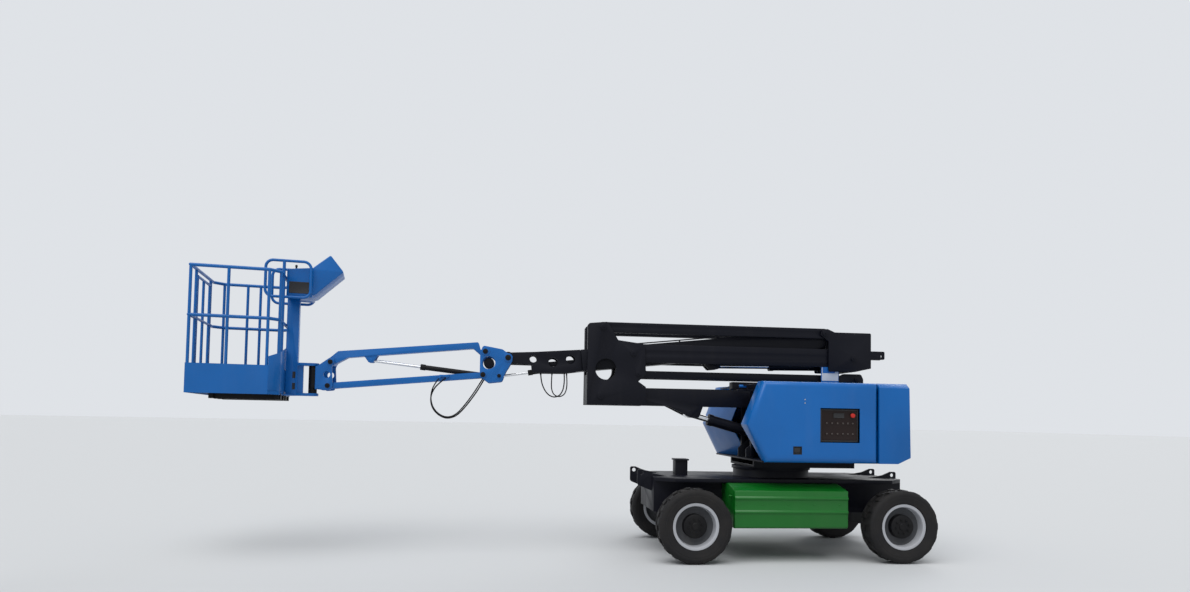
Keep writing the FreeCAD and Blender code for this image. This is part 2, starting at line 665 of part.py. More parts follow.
def battery_pack():
    return block((BASE_X[0] + 20, -150), (260, COVER_HALF_W - 180), (FLOOR_TOP, FLOOR_Z + 355))


def drive_pack():
    return block((BASE_X[0] + 20, 150), (-COVER_HALF_W + 140, -260), (FLOOR_TOP, FLOOR_Z + 425))


def sign_holder():
    """The folded plate that stands on the left hinge rail."""
    foot = block((-560, -400), (160, 190), (RAIL_TOP, RAIL_TOP + 12))
    plate = block((-590, -360), (164, 170), (RAIL_TOP + 6, RAIL_TOP + 250))
    fold = block((-590, -584), (156, 170), (RAIL_TOP + 6, RAIL_TOP + 250))
    return joined(foot, plate, fold)


# Riser

def lower_arm():
    half = LOWER_ARM_R
    beam = link_outline(LOWER_ARM_PIN, half, KNUCKLE_ARM_PIN, half - 3, -half, half)
    room = half - ARM_WALL
    inside = block((LOWER_ARM_PIN[0] + 140, KNUCKLE_ARM_PIN[0] - 140), (-room, room),
                   (LOWER_ARM_PIN[1] - room, LOWER_ARM_PIN[1] + room))
    rear_reach = RISER_PLATE_Y[0] - 6
    front_reach = SIDE_INNER_Y[0] - 6
    bosses = [bar_y(LOWER_ARM_PIN, 70, -rear_reach, rear_reach), bar_y(KNUCKLE_ARM_PIN, 70, -front_reach, front_reach)]
    lugs = plates(around(TOWER_LUG, [(241, 79), (-144, 79), (-102, -40, 15), (-19, -45, 15)]), (half - 23, half))
    caps = pair(bar_y(TOWER_LUG, 34, half - 23, half + 8))
    return drilled(joined(beam.cut(inside), *bosses, *lugs, *caps),
                   [(LOWER_ARM_PIN, RISER_PIN_R + RUNNING), (KNUCKLE_ARM_PIN, RISER_PIN_R + RUNNING)])


def lower_link():
    outer = SIDE_INNER_Y[0] - 8
    bars = pair(link_outline(LOWER_LINK_PIN, LOWER_LINK_R, KNUCKLE_LINK_PIN, LOWER_LINK_R, outer - 28, outer))
    rear = pair(bar_y(LOWER_LINK_PIN, 36, outer - 40, RISER_PLATE_Y[0] - 6))
    front = pair(bar_y(KNUCKLE_LINK_PIN, 36, outer - 40, outer + 4))
    ties = [bar_y(place, 26, -outer + 20, outer - 20)
            for place in (moved(LOWER_LINK_PIN, 655, 0), moved(KNUCKLE_LINK_PIN, -605, 0))]
    return drilled(joined(*bars, *rear, *front, *ties),
                   [(LOWER_LINK_PIN, LINK_PIN_R + RUNNING), (KNUCKLE_LINK_PIN, LINK_PIN_R + RUNNING)])


def knuckle():
    """The pair of doubled side plates that both parallelograms hang on, open at the top for the boom."""
    home = KNUCKLE_ARM_PIN
    outline = around(home, [(140, -95), (140, 755, 30), (-70, 775, 30), (-180, 585, 20), (-460, 550, 30),
                            (-480, 235, 30), (-400, 155), (-480, 100), (-480, -95)])
    across = SIDE_INNER_Y[0] + 2
    posts = pair(block((home[0] + 105, home[0] + 139), (SIDE_INNER_Y[1] - 2, SIDE_OUTER_Y[0] + 2),
                       (home[1] - 93, home[1] + 725)))
    front = block((home[0] + 120, home[0] + 139), (-across, across), (home[1] - 93, home[1] + 220))
    web = block((home[0] - 100, home[0] - 86), (-across, across), (home[1] + 120, home[1] + 270))
    body = joined(*plates(outline, SIDE_INNER_Y), *plates(outline, SIDE_OUTER_Y), *posts, front, web)
    body = drilled(body, [(moved(home, -55, 278), 110)])
    reach = SIDE_OUTER_Y[1] + PIN_HEAD
    pins = [bar_y(KNUCKLE_ARM_PIN, RISER_PIN_R, -reach, reach), bar_y(KNUCKLE_LINK_PIN, LINK_PIN_R, -reach, reach)]
    for pin in (UPPER_ARM_PIN, UPPER_LINK_PIN):
        pins += pair(bar_y(pin, STUB_PIN_R, SIDE_INNER_Y[0], reach))
    return joined(body, *pins)


def twin_arm(front, back, radius):
    """Two hollow side beams on stub pins, clear of the boom between them."""
    y_low, y_high = SIDE_BEAM_Y
    wall = SIDE_BEAM_WALL
    beam = link_outline(back, radius, front, radius, y_low, y_high)
    inside = block((back[0] + radius + 60, front[0] - radius - 60), (y_low + wall, y_high - wall),
                   (front[1] - radius + wall, front[1] + radius - wall))
    hollow = drilled(beam.cut(inside), [(front, STUB_PIN_R + RUNNING), (back, STUB_PIN_R + RUNNING)])
    return Part.makeCompound(pair(hollow))


def rear_upright():
    """The upper parallelogram's rear link, which carries the boom's pivot and its cylinder's foot."""
    home = UPRIGHT_ARM_PIN
    outline = around(home, [(-200, -103), (-14, -145), (278, -145, 20), (278, 180), (368, 250), (352, 305, 25),
                            (290, 315, 30), (210, 280), (-200, 280, 15)])
    across = SIDE_INNER_Y[0] + 2
    posts = pair(block((home[0] - 199, home[0] - 165), (SIDE_INNER_Y[1] - 2, SIDE_OUTER_Y[0] + 2),
                       (home[1] - 98, home[1] + 276)))
    back = block((home[0] - 199, home[0] - 185), (-across, across), (home[1] - 98, home[1] + 270))
    bottom = block((home[0] - 10, home[0] + 150), (-across, across), (home[1] - 144, home[1] - 132))
    ears = plates(around(home, [(-196, 10), (-196, 100), (-429, 100, 15), (-429, 10, 15)]), (34, 52))
    ears = [drilled(ear, [(lift_eye(), LIFT_EYE_R)]) for ear in ears]
    pins = [bar_y(BOOM_PIVOT, BOOM_PIN_R, -SIDE_INNER_Y[1], SIDE_INNER_Y[1]),
            bar_y(BOOM_FOOT, STUB_PIN_R, -SIDE_INNER_Y[1], SIDE_INNER_Y[1])]
    for pin in (UPRIGHT_ARM_PIN, UPRIGHT_LINK_PIN):
        pins += pair(bar_y(pin, STUB_PIN_R, SIDE_INNER_Y[0], SIDE_OUTER_Y[1] + PIN_HEAD))
    return joined(*plates(outline, SIDE_INNER_Y), *plates(outline, SIDE_OUTER_Y), *posts, back, bottom,
                  *ears, *pins)


def lift_eye():
    return moved(UPRIGHT_ARM_PIN, -384, 48)


# Main boom

def tilted(shape):
    """Moves what was drawn along (s, h) to the boom's place."""
    placed = shape.copy()
    placed.translate(xz(BOOM_PIVOT))
    placed.rotate(xz(BOOM_PIVOT), Vector(0, 1, 0), -BOOM_TILT)
    return placed


def square_tube(s_low, s_high, width, height, wall):
    outer = block((s_low, s_high), (-width / 2, width / 2), (-height / 2, height / 2))
    inner = block((s_low - 1, s_high + 1), (-width / 2 + wall, width / 2 - wall),
                  (-height / 2 + wall, height / 2 - wall))
    return outer.cut(inner)


def boom_outer():
    """The boom's outer tube: pivot cheeks, cylinder lugs, wear pads in its mouth and a cable rail on top."""
    half = BOOM_H / 2
    half_w = BOOM_W / 2
    tube = square_tube(BOOM_TUBE_START, BOOM_FRONT, BOOM_W, BOOM_H, BOOM_WALL)
    slot = block((BOOM_TUBE_START - 1, BOOM_SLOT_END), (-BOOM_SLOT_HALF_W, BOOM_SLOT_HALF_W),
                 (-half - 1, -half + BOOM_WALL + 1))
    pads = block((BOOM_FRONT - 130, BOOM_FRONT - 4), (-half_w + 2, half_w - 2), (-half + 2, half - 2))
    mouth = block((BOOM_FRONT - 140, BOOM_FRONT + 5), (-FLY_W / 2 - SEAT_GAP, FLY_W / 2 + SEAT_GAP),
                  (-FLY_H / 2 - SEAT_GAP, FLY_H / 2 + SEAT_GAP))
    cheek_end = BOOM_TUBE_START + 40
    cheeks = plates([(-10, -62), (cheek_end, -half), (cheek_end, half), (-10, 62)], (62, half_w))
    boss = bar_y((0, 0), 66, -half_w - 2, half_w + 2)
    lugs = plates(around(BOOM_LUG_AT, [(-130, 178 - half), (130, 178 - half), (50, -40, 30), (-50, -40, 30)]),
                  BOOM_LUG_Y)
    caps = pair(bar_y(BOOM_LUG_AT, 24, BOOM_LUG_Y[0], BOOM_LUG_Y[1] + 10))
    rail_y = (-70, -52)
    rail = block((BOOM_TUBE_START + 100, BOOM_FRONT - 165), rail_y, (half + 22, half + 34))
    stands = [block((s, s + 12), rail_y, (half - 2, half + 24))
              for s in range(BOOM_TUBE_START + 130, BOOM_FRONT - 165, 420)]
    body = joined(tube.cut(slot), pads.cut(mouth), *cheeks, boss, *lugs, *caps, rail, *stands)
    return tilted(drilled(body, [((0, 0), BOOM_PIN_R + RUNNING)]))


def fly_boom():
    """The telescopic tube with the head that carries the jib, and the clamps of the head's hoses."""
    half = BOOM_H / 2
    half_w = BOOM_W / 2
    nose_end = half + HEAD_RISE
    tube = square_tube(FLY_START, HEAD_START + 25, FLY_W, FLY_H, FLY_WALL)
    sides = plates([(HEAD_START, -half), (HEAD_START + 190, -half - 5), (HEAD_END, -86, 20),
                    (HEAD_END, nose_end), (HEAD_START, half)], (half_w - HEAD_PLATE_T, half_w))
    inner_y = (-half_w + 4, half_w - 4)
    top = slab([(HEAD_START, half - 12), (HEAD_START, half), (HEAD_END, nose_end), (HEAD_END, nose_end - 12)],
               *inner_y)
    rear = block((HEAD_START, HEAD_START + 12), inner_y, (-half + 1, half - 1))
    rear = rear.cut(block((HEAD_START - 1, HEAD_START + 13), (-FLY_W / 2 + 8, FLY_W / 2 - 8),
                          (-FLY_H / 2 + 8, FLY_H / 2 - 8)))
    bottom = block((HEAD_START, HEAD_START + 60), inner_y, (-half, -half + 12))
    tip_s, tip_h = TIP_AT
    noses = plates([(HEAD_END - 60, nose_end - 2), (tip_s, tip_h + TIP_BOSS_R - 8),
                    (tip_s, tip_h - TIP_BOSS_R + 2), (HEAD_END - 60, -6)], (half_w - 26, half_w - 5))
    boss = bar_y(TIP_AT, TIP_BOSS_R, *inner_y)
    holes = [((HEAD_END - 24, 58), 38), ((HEAD_START + 298, 3), 47), ((HEAD_START + 112, 18), 47),
             (TIP_AT, TIP_PIN_R + RUNNING)]
    body = drilled(joined(tube, *sides, top, rear, bottom, *noses, boss), holes)
    foot_pin = bar_y(LEVEL_FOOT_AT, LEVEL_PIN_R, -half_w + 2, half_w - 2)
    corner = HEAD_CORNER
    clamps = [block((corner[0] + 296, corner[0] + 461), HEAD_CLAMP_Y, (corner[1] - 22, corner[1] + 8)),
              block((corner[0] + 148, corner[0] + 208), HEAD_CLAMP_Y, (corner[1] - 20, corner[1] + 24))]
    ferrules = hose_ferrules("head_hose_long") + hose_ferrules("head_hose_short")
    return joined(tilted(joined(body, foot_pin)), *clamps, *ferrules)


# Jib

def jib_bracket():
    """The two plates on the boom's tip that the jib's arm, link and levelling cylinder pin to."""
    outline = around(TIP_PIVOT, [(289, -202), (289, 48), (259, 120, 25), (61, 86, 50), (-65, 0, 60),
                                 (19, -142), (59, -247, 30), (199, -264, 30)])
    low, high = BRACKET_Y
    sides = [drilled(side, [(moved(TIP_PIVOT, 198, -57), BRACKET_HOLE_R)]) for side in plates(outline, BRACKET_Y)]
    bosses = [bar_y(JIB_ARM_PIN, 44, low, high + 8), bar_y(JIB_LINK_PIN, 38, low, high + 8),
              bar_y(TIP_PIVOT, 46, low - 4, high + 8)]
    spacers = [bar_y(moved(TIP_PIVOT, 101, -104), 18, -low - 2, low + 2),
               bar_y(moved(TIP_PIVOT, 124, 74), 12, -low - 2, low + 2)]
    reach = high + PIN_HEAD
    pins = [bar_y(TIP_PIVOT, TIP_PIN_R, -reach, reach), bar_y(JIB_ARM_PIN, JIB_PIN_R, -reach, reach)]
    stubs = [bar_y(JIB_LINK_PIN, JIB_PIN_R, JIB_LINK_Y[0] - 6, reach), bar_y(LEVEL_EYE, LEVEL_PIN_R, 30, reach)]
    return joined(*sides, *bosses, *spacers, *pins, *stubs, *[mirrored(shape) for shape in bosses + stubs])


def jib_arm():
    """The jib's upper arm: a cranked box beam, with the lugs of the jib's cylinder under it."""
    width = JIB_ARM_HALF_W
    room = width - JIB_ARM_WALL
    rear, front = JIB_ARM_PIN, HEAD_ARM_PIN
    outline = (around(rear, [(54, 24), (76, 101, 20)])
               + around(front, [(-62, 116, 30), (46, 21, 20), (18, -24), (-24, -24), (-154, 52, 40)])
               + around(rear, [(129, 31, 30), (44, -41), (-6, -41), (-36, -11)]))
    inside = slab(around(rear, [(164, 37), (164, 84)]) + around(front, [(-174, 116), (-174, 64)]), -room, room)
    rear_reach = BRACKET_Y[0] - 7
    front_reach = HEAD_PLATE_Y[0] - 6
    bosses = [bar_y(rear, 46, -rear_reach, rear_reach), bar_y(front, 40, -front_reach, front_reach)]
    lugs = plates(around(JIB_LUG, [(-70, 55), (70, 43), (22, -24, 18), (-22, -24, 18)]), JIB_LUG_Y)
    lug_pin = bar_y(JIB_LUG, JIB_LUG_PIN_R, -JIB_LUG_Y[1] - 4, JIB_LUG_Y[1] + 4)
    body = joined(slab(outline, -width, width).cut(inside), *bosses, *lugs, lug_pin)
    return drilled(body, [(rear, JIB_PIN_R + RUNNING), (front, JIB_PIN_R + RUNNING)])


def jib_link():
    """The jib's lower link: two bars, a tie between them and the clamps of the jib's hoses."""
    low, high = JIB_LINK_Y
    bars = pair(link_outline(JIB_LINK_PIN, JIB_LINK_R, HEAD_LINK_PIN, JIB_LINK_R, low, high))
    rear = pair(bar_y(JIB_LINK_PIN, 28, low - 4, BRACKET_Y[0] - 6))
    front_reach = HEAD_PLATE_Y[0] - 4
    front = bar_y(HEAD_LINK_PIN, 28, -front_reach, front_reach)
    tie_back = 295
    tie = bar_y(moved(HEAD_LINK_PIN, -tie_back, tie_back * JIB_FALL / JIB_REACH), 18, -low - 6, low + 6)
    x, z = JIB_LINK_PIN
    clamps = [block((x + 348, x + 443), JIB_CLAMP_Y, (z - 31, z - 9)),
              block((x - 37, x + 8), JIB_CLAMP_Y, (z - 31, z - 9))]
    ferrules = hose_ferrules("jib_hose_long") + hose_ferrules("jib_hose_short")
    body = joined(*bars, *rear, front, tie, *clamps, *ferrules)
    return drilled(body, [(JIB_LINK_PIN, JIB_PIN_R + RUNNING), (HEAD_LINK_PIN, JIB_PIN_R + RUNNING)])


def jib_head():
    """The plates at the jib's front end, with the back plate that the rotator bolts to."""
    outline = around(HEAD_ARM_PIN, [(-42, 31, 25), (6, 46, 25), (143, -54), (146, -264), (66, -292, 20),
                                    (-4, -286, 25), (-26, -244, 20), (-14, -54, 30)])
    sides = [drilled(side, [(moved(HEAD_ARM_PIN, 34, -129), 34)]) for side in plates(outline, HEAD_PLATE_Y)]
    outer = HEAD_PLATE_Y[1]
    back = block((HEAD_BACK_X - HEAD_BACK_T, HEAD_BACK_X), (-outer, outer),
                 (HEAD_ARM_PIN[1] - 279, HEAD_ARM_PIN[1] - 46))
    pins = [bar_y(pin, JIB_PIN_R, -outer - 12, outer + 12) for pin in (HEAD_ARM_PIN, HEAD_LINK_PIN)]
    return joined(*sides, back, *pins)


def rotator():
    low, high = ROTATOR_Z
    housing = bar_z((ROTATOR_X, 0), ROTATOR_R, low, high)
    mount = block((HEAD_BACK_X, ROTATOR_X), (-ROTATOR_HALF_W, ROTATOR_HALF_W), (low + 57, high - 16))
    shaft = bar_z((ROTATOR_X, 0), ROTATOR_SHAFT_R, low - ROTATOR_SHAFT_END, high + ROTATOR_SHAFT_END)
    return joined(housing, mount, shaft)


# Platform

def turned(shape):
    """Moves what was drawn about the rotator to the platform's place."""
    placed = shape.copy()
    placed.translate(Vector(ROTATOR_X, 0, 0))
    placed.rotate(Vector(ROTATOR_X, 0, 0), Vector(0, 0, 1), PLATFORM_YAW)
    return placed


def platform_support():
    """The post at the back of the platform and the two arms that hold the rotator."""
    low, high = COLUMN_U
    half_w = COLUMN_HALF_W
    arm_zs = (ROTATOR_Z[0] - SEAT_GAP - SUPPORT_ARM_T, ROTATOR_Z[1] + SEAT_GAP)
    column = block(COLUMN_U, (-half_w, half_w), (arm_zs[0], COLUMN_TOP))
    room = block((low + COLUMN_WALL, high - COLUMN_WALL), (-half_w + COLUMN_WALL, half_w - COLUMN_WALL),
                 (arm_zs[1] + 38, COLUMN_TOP - COLUMN_WALL))
    parts = [column.cut(room)]
    for z in arm_zs:
        parts.append(bar_z((0, 0), ROTATOR_HALF_W, z, z + SUPPORT_ARM_T))
        parts.append(block((0, low + 5), (-ROTATOR_HALF_W, ROTATOR_HALF_W), (z, z + SUPPORT_ARM_T)))
    parts.append(block((low - 53, low + 5), (-30, 30), (ROTATOR_Z[0] - 4, ROTATOR_Z[1] + 4)))
    basket = BASKET_U[0]
    parts += pair(plan([(low + 20, half_w), (basket - 4, 150), (basket - 4, half_w)],
                       TOE_Z[0] + 4, TOE_Z[0] + 16))
    for z_low, z_high in ((MID_RAIL_Z - 14, MID_RAIL_Z + 14), (TOE_Z[0] + 40, TOE_Z[1] - 20)):
        parts.append(block((high - 1, basket - SEAT_GAP), (-50, 50), (z_low, z_high)))
    bore = bar_z((0, 0), ROTATOR_SHAFT_R + RUNNING, arm_zs[0] - 60, arm_zs[1] + 60)
    return turned(joined(*parts).cut(bore))


def basket_plan(grow=0.0):
    """Corners of the platform's plan, one corner square and three bevelled."""
    low, high = BASKET_U[0] - grow, BASKET_U[1] + grow
    half = BASKET_HALF_W + grow
    cut = BASKET_BEVEL
    return [(low, -half + cut), (low + cut, -half), (high - cut, -half), (high, -half + cut),
            (high, half), (low + cut, half), (low, half - cut)]


def rail_run(points, z):
    """One tube through the (u, v) points, mitred at its corners."""
    path = [Vector(u, v, z) for u, v in points]
    wire = Part.makePolygon(path)
    circle = Part.Wire(Part.makeCircle(RAIL_R, path[0], path[1] - path[0]))
    return wire.makePipeShell([circle], True, False, 1)


def post_places():
    """Each post of the basket as (u, v, radius, top)."""
    front = BASKET_U[1] - RAIL_R
    rear = BASKET_U[0] + RAIL_R
    side = BASKET_HALF_W - RAIL_R
    places = [(front, side), (front, GATE_V[1] + RAIL_R), (front, GATE_V[0] - RAIL_R),
              (front - BASKET_BEVEL, -side), (rear + BASKET_BEVEL, side), (rear + BASKET_BEVEL, -side),
              (rear, side - BASKET_BEVEL), (rear, -side + BASKET_BEVEL)] + [(u, -side) for u in SIDE_POST_US]
    places.append((SIDE_POST_US[1], side))
    posts = [(u, v, RAIL_R - 2, TOP_RAIL_Z) for u, v in places]
    return posts + [(rear, v, RAIL_R - 1, GUARD_Z[1]) for v in (-GUARD_V, GUARD_V)]


def platform_floor():
    """The floor plate, notched round the posts, and the dark beams under it."""
    floor = plan(basket_plan(-TOE_T - SEAT_GAP), FLOOR_PLATE_Z, FLOOR_PLATE_Z + FLOOR_PLATE_T)
    floor = floor.cut([bar_z((u, v), radius + NOTCH_GAP, FLOOR_PLATE_Z - 1, FLOOR_PLATE_Z + FLOOR_PLATE_T + 1)
                       for u, v, radius, top in post_places()])
    half_w = FLOOR_BEAM_HALF_W
    bottom = FLOOR_PLATE_Z - FLOOR_BEAM_H
    beams = [block((BASKET_U[0] - 4, BASKET_U[1] - 169), (v - half_w, v + half_w), (bottom, FLOOR_PLATE_Z))
             for v in FLOOR_BEAM_VS]
    cross_v = FLOOR_BEAM_VS[-1] + 70
    cross = [block((u, u + 40), (-cross_v, cross_v), (bottom + 2, FLOOR_PLATE_Z - 16))
             for u in (BASKET_U[0] + 10, BASKET_U[1] - 215)]
    return turned(joined(floor, *beams, *cross))


def platform_basket():
    """Toe board, posts, rails and the console's guard loops."""
    walls = plan(basket_plan(), *TOE_Z).cut(plan(basket_plan(-TOE_T), TOE_Z[0] - 1, TOE_Z[1] + 1))
    gate_gap = block((BASKET_U[1] - 20, BASKET_U[1] + 20), GATE_V, (FLOOR_PLATE_Z + 14, TOE_Z[1] + 1))
    half_w = FLOOR_BEAM_HALF_W + 1
    beam_gaps = [block((BASKET_U[0] - 10, BASKET_U[0] + 10), (v - half_w, v + half_w),
                       (TOE_Z[0] - 50, FLOOR_PLATE_Z)) for v in FLOOR_BEAM_VS]
    toe = walls.cut([gate_gap] + beam_gaps)
    posts = [bar_z((u, v), radius, FLOOR_PLATE_Z, top) for u, v, radius, top in post_places()]
    front = BASKET_U[1] - RAIL_R
    gate_posts = (GATE_V[0] - RAIL_R, GATE_V[1] + RAIL_R)
    for z in GATE_HINGE_ZS:
        posts.append(block((front - 8, front + 8), (GATE_HINGE_V - 5, gate_posts[1]), (z - 10, z)))
        posts.append(bar_z((front, GATE_HINGE_V), HINGE_PIN_R, z - 6, z + 66))
    corners = basket_plan(-RAIL_R)
    way_round = [(front, gate_posts[0])] + corners[3::-1] + corners[:3:-1] + [(front, gate_posts[1])]
    rails = [rail_run(way_round, TOP_RAIL_Z), rail_run(way_round, MID_RAIL_Z),
             rail_run([(front, gate_posts[0]), (front, gate_posts[1])], TOP_RAIL_Z)]
    return turned(joined(toe, *posts, *rails, *guard_loops()))


def guard_loops():
    """Two rounded loops of tube that shield the console."""
    loops = []
    for v in (-GUARD_V, GUARD_V):
        corners = [Vector(GUARD_U[0], v, GUARD_Z[1]), Vector(GUARD_U[1], v, GUARD_Z[1]),
                   Vector(GUARD_U[1], v, GUARD_Z[0]), Vector(GUARD_U[0], v, GUARD_Z[0])]
        arcs = [corner_arc(Vector(corners[i - 1]), Vector(corners[i]), Vector(corners[(i + 1) % 4]), GUARD_BEND)
                for i in range(4)]
        path = []
        for i, (first, middle, last) in enumerate(arcs):
            path.append(Part.Arc(first, middle, last).toShape())
            path.append(Part.LineSegment(last, arcs[(i + 1) % 4][0]).toShape())
        wire = Part.Wire(path)
        start = wire.Edges[0].FirstParameter
        circle = Part.makeCircle(RAIL_R - 2, wire.Edges[0].valueAt(start), wire.Edges[0].tangentAt(start))
        loops.append(wire.makePipeShell([Part.Wire(circle)], True, True))
    return loops


def platform_gate():
    """The gate in the platform's front, hung on its left post."""
    front = BASKET_U[1] - RAIL_R
    low, high = GATE_V[0] + 20, GATE_HINGE_V - 24
    radius = RAIL_R - 3
    top = TOP_RAIL_Z - 60
    tubes = [rod_between(Vector(front, low, z), Vector(front, high, z), radius) for z in (top, MID_RAIL_Z)]
    tubes += [bar_z((front, v), radius, PLATFORM_Z + 90, top) for v in (low, 0, high)]
    board = block((front - 3, front + 3), (low, high), (FLOOR_PLATE_Z + 22, TOE_Z[1]))
    hinges = []
    bores = []
    for z in GATE_HINGE_ZS:
        hinges.append(bar_z((front, GATE_HINGE_V), 10, z + SEAT_GAP, z + 60))
        hinges.append(block((front - 4, front + 4), (high, GATE_HINGE_V), (z + SEAT_GAP, z + 60)))
        bores.append(bar_z((front, GATE_HINGE_V), HINGE_PIN_R + RUNNING, z - 5, z + 75))
    return turned(joined(*tubes, board, *hinges).cut(bores))


def control_console():
    """The upper control box with its raised wing, on top of the post."""
    half_w = CONSOLE_HALF_W
    wall = CONSOLE_WALL
    home = (0, COLUMN_TOP)
    case = slab(around(home, [(19, 0), (260, 0), (260, 275, 15), (19, 301)]), -half_w, half_w)
    case_room = slab(around(home, [(19 + wall, wall), (260 - wall, wall), (260 - wall, 270), (19 + wall, 295)]),
                     -half_w + wall, half_w - wall)
    wing = slab(around(home, [(40, 20), (19, 301), (-146, 441, 15), (-276, 278, 15), (-6, 26)]), -half_w, half_w)
    wing_room = slab(around(home, [(14, 50), (13, 294), (-144, 428), (-262, 278), (0, 42)]),
                     -half_w + wall, half_w - wall)
    return turned(joined(case.cut(case_room), wing.cut(wing_room)))


# Cylinders: each barrel is bored to its rod's running fit

def unit_vector(a, b):
    return (xz(b) - xz(a)).normalize()


def at(a, b, distance):
    """The point that far along the line from a to b."""
    return xz(a) + unit_vector(a, b) * distance


def barrel(foot, eye, radius, rod_radius, length, foot_half_w, foot_bore):
    """A closed tube from its foot eye, with a gland round the rod."""
    body = rod_between(at(foot, eye, radius * 0.2), at(foot, eye, length), radius)
    gland = rod_between(at(foot, eye, length - 40), at(foot, eye, length + 10), radius + 5)
    eye_ring = bar_y(foot, radius + 2, -foot_half_w, foot_half_w)
    bore = rod_between(at(foot, eye, radius + 20), at(foot, eye, length + 60), rod_radius + RUNNING)
    whole = joined(body, gland, eye_ring).cut(bore)
    return drilled(whole, [(foot, foot_bore + RUNNING)]) if foot_bore else whole


def piston_rod(foot, eye, radius, start, eye_radius, eye_half_w, eye_bore):
    length = (xz(eye) - xz(foot)).Length
    shaft = rod_between(at(foot, eye, start), at(foot, eye, length - eye_radius * 0.5), radius)
    ring = bar_y(eye, eye_radius, -eye_half_w, eye_half_w)
    whole = joined(shaft, ring)
    return drilled(whole, [(eye, eye_bore + RUNNING)]) if eye_bore else whole


# Hoses

def hose_points(name):
    radius, y, home, rows = HOSES[name]
    return [xz(moved(home, dx, dz), y) for dx, dz in rows]


def hose(name):
    """A tube of straight runs joined by tangent arcs, each as large as its runs allow."""
    radius = HOSES[name][0]
    points = hose_points(name)
    path = []
    bends = []
    reached = points[0]
    for before, corner, after in zip(points, points[1:], points[2:]):
        run = min((corner - before).Length, (after - corner).Length)
        turn = (corner - before).getAngle(after - corner)
        bends.append(0.45 * run / math.tan(turn / 2))
        first, middle, last = corner_arc(Vector(before), Vector(corner), Vector(after), bends[-1])
        path.append(Part.LineSegment(reached, first).toShape())
        path.append(Part.Arc(first, middle, last).toShape())
        reached = last
    path.append(Part.LineSegment(reached, points[-1]).toShape())
    wire = Part.Wire(path)
    circle = Part.Wire(Part.makeCircle(radius, points[0], points[1] - points[0]))
    print(name, "radii", [round(bend) for bend in bends], "length", round(wire.Length))
    return wire.makePipeShell([circle], True, True)


def hose_ferrules(name):
    """The steel sleeves that the hose's two ends butt against."""
    points = hose_points(name)
    sleeves = []
    for end, inner in ((points[0], points[1]), (points[-1], points[-2])):
        outward = (end - inner).normalize()
        sleeves.append(rod_between(end, end + outward * FERRULE_LENGTH, HOSES[name][0] + FERRULE_WALL))
    return sleeves


# All pieces by name

def build():
    left_box = side_box()
    cover = hood()
    nodes = {
        "chassis_frame": chassis_frame(),
        "side_boxes": Part.makeCompound(pair(left_box)),
        "turntable_frame": turntable_frame(),
        "counterweight": counterweight(),
        "battery_pack": battery_pack(),
        "drive_pack": drive_pack(),
        "ground_control": ground_control(),
        "sign_holder": sign_holder(),
        "hood_left": cover.cut(panel_window()),
        "hood_right": mirrored(cover),
        "lower_arm": lower_arm(),
        "lower_link": lower_link(),
        "knuckle": knuckle(),
        "upper_arm": twin_arm(UPPER_ARM_PIN, UPRIGHT_ARM_PIN, UPPER_ARM_R),
        "upper_link": twin_arm(UPPER_LINK_PIN, UPRIGHT_LINK_PIN, UPPER_LINK_R),
        "rear_upright": rear_upright(),
        "boom_outer": boom_outer(),
        "fly_boom": fly_boom(),
        "jib_bracket": jib_bracket(),
        "jib_arm": jib_arm(),
        "jib_link": jib_link(),
        "jib_head": jib_head(),
        "rotator": rotator(),
        "platform_support": platform_support(),
        "platform_floor": platform_floor(),
        "platform_basket": platform_basket(),
        "platform_gate": platform_gate(),
        "control_console": control_console(),
        "steer_knuckle_left": steer_knuckle(),
        "steer_knuckle_right": mirrored(steer_knuckle()),
    }
    for name, row in CYLINDERS.items():
        foot, eye, radius, rod_radius, length, foot_half_w, foot_bore = row[:7]
        nodes[name + "_barrel"] = barrel(foot, eye, radius, rod_radius, length, foot_half_w, foot_bore)
        nodes[name + "_rod"] = piston_rod(foot, eye, rod_radius, *row[7:])
    for name in HOSES:
        nodes[name] = hose(name)
    for kind, shape in (("tyre", tyre()), ("rim", rim())):
        for end, x in (("front", AXLE_X), ("rear", -AXLE_X)):
            nodes[kind + "_" + end + "_left"] = at_wheel(shape, x)
            nodes[kind + "_" + end + "_right"] = mirrored(at_wheel(shape, x))
    return nodes


def front_reach():
    """How far forwards the turned platform's bevelled corner comes."""
    yaw = math.radians(PLATFORM_YAW)
    corner_v = BASKET_HALF_W - BASKET_BEVEL
    return ROTATOR_X + BASKET_U[1] * math.cos(yaw) + corner_v * math.sin(yaw)


FRAME_SHIFT = (front_reach() - AXLE_X - TYRE_R) / 2

if __name__ == "__main__":
    for name, shape in build().items():
        shape.translate(Vector(-FRAME_SHIFT, 0, 0))
        shape.exportStep("parts/" + name + ".step")
        print(name, shape.isValid(), round(shape.Volume / 1e6, 2), len(shape.Solids))
    print("frame shift", FRAME_SHIFT)
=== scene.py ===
import bpy
import json
import math
from mathutils import Matrix, Vector


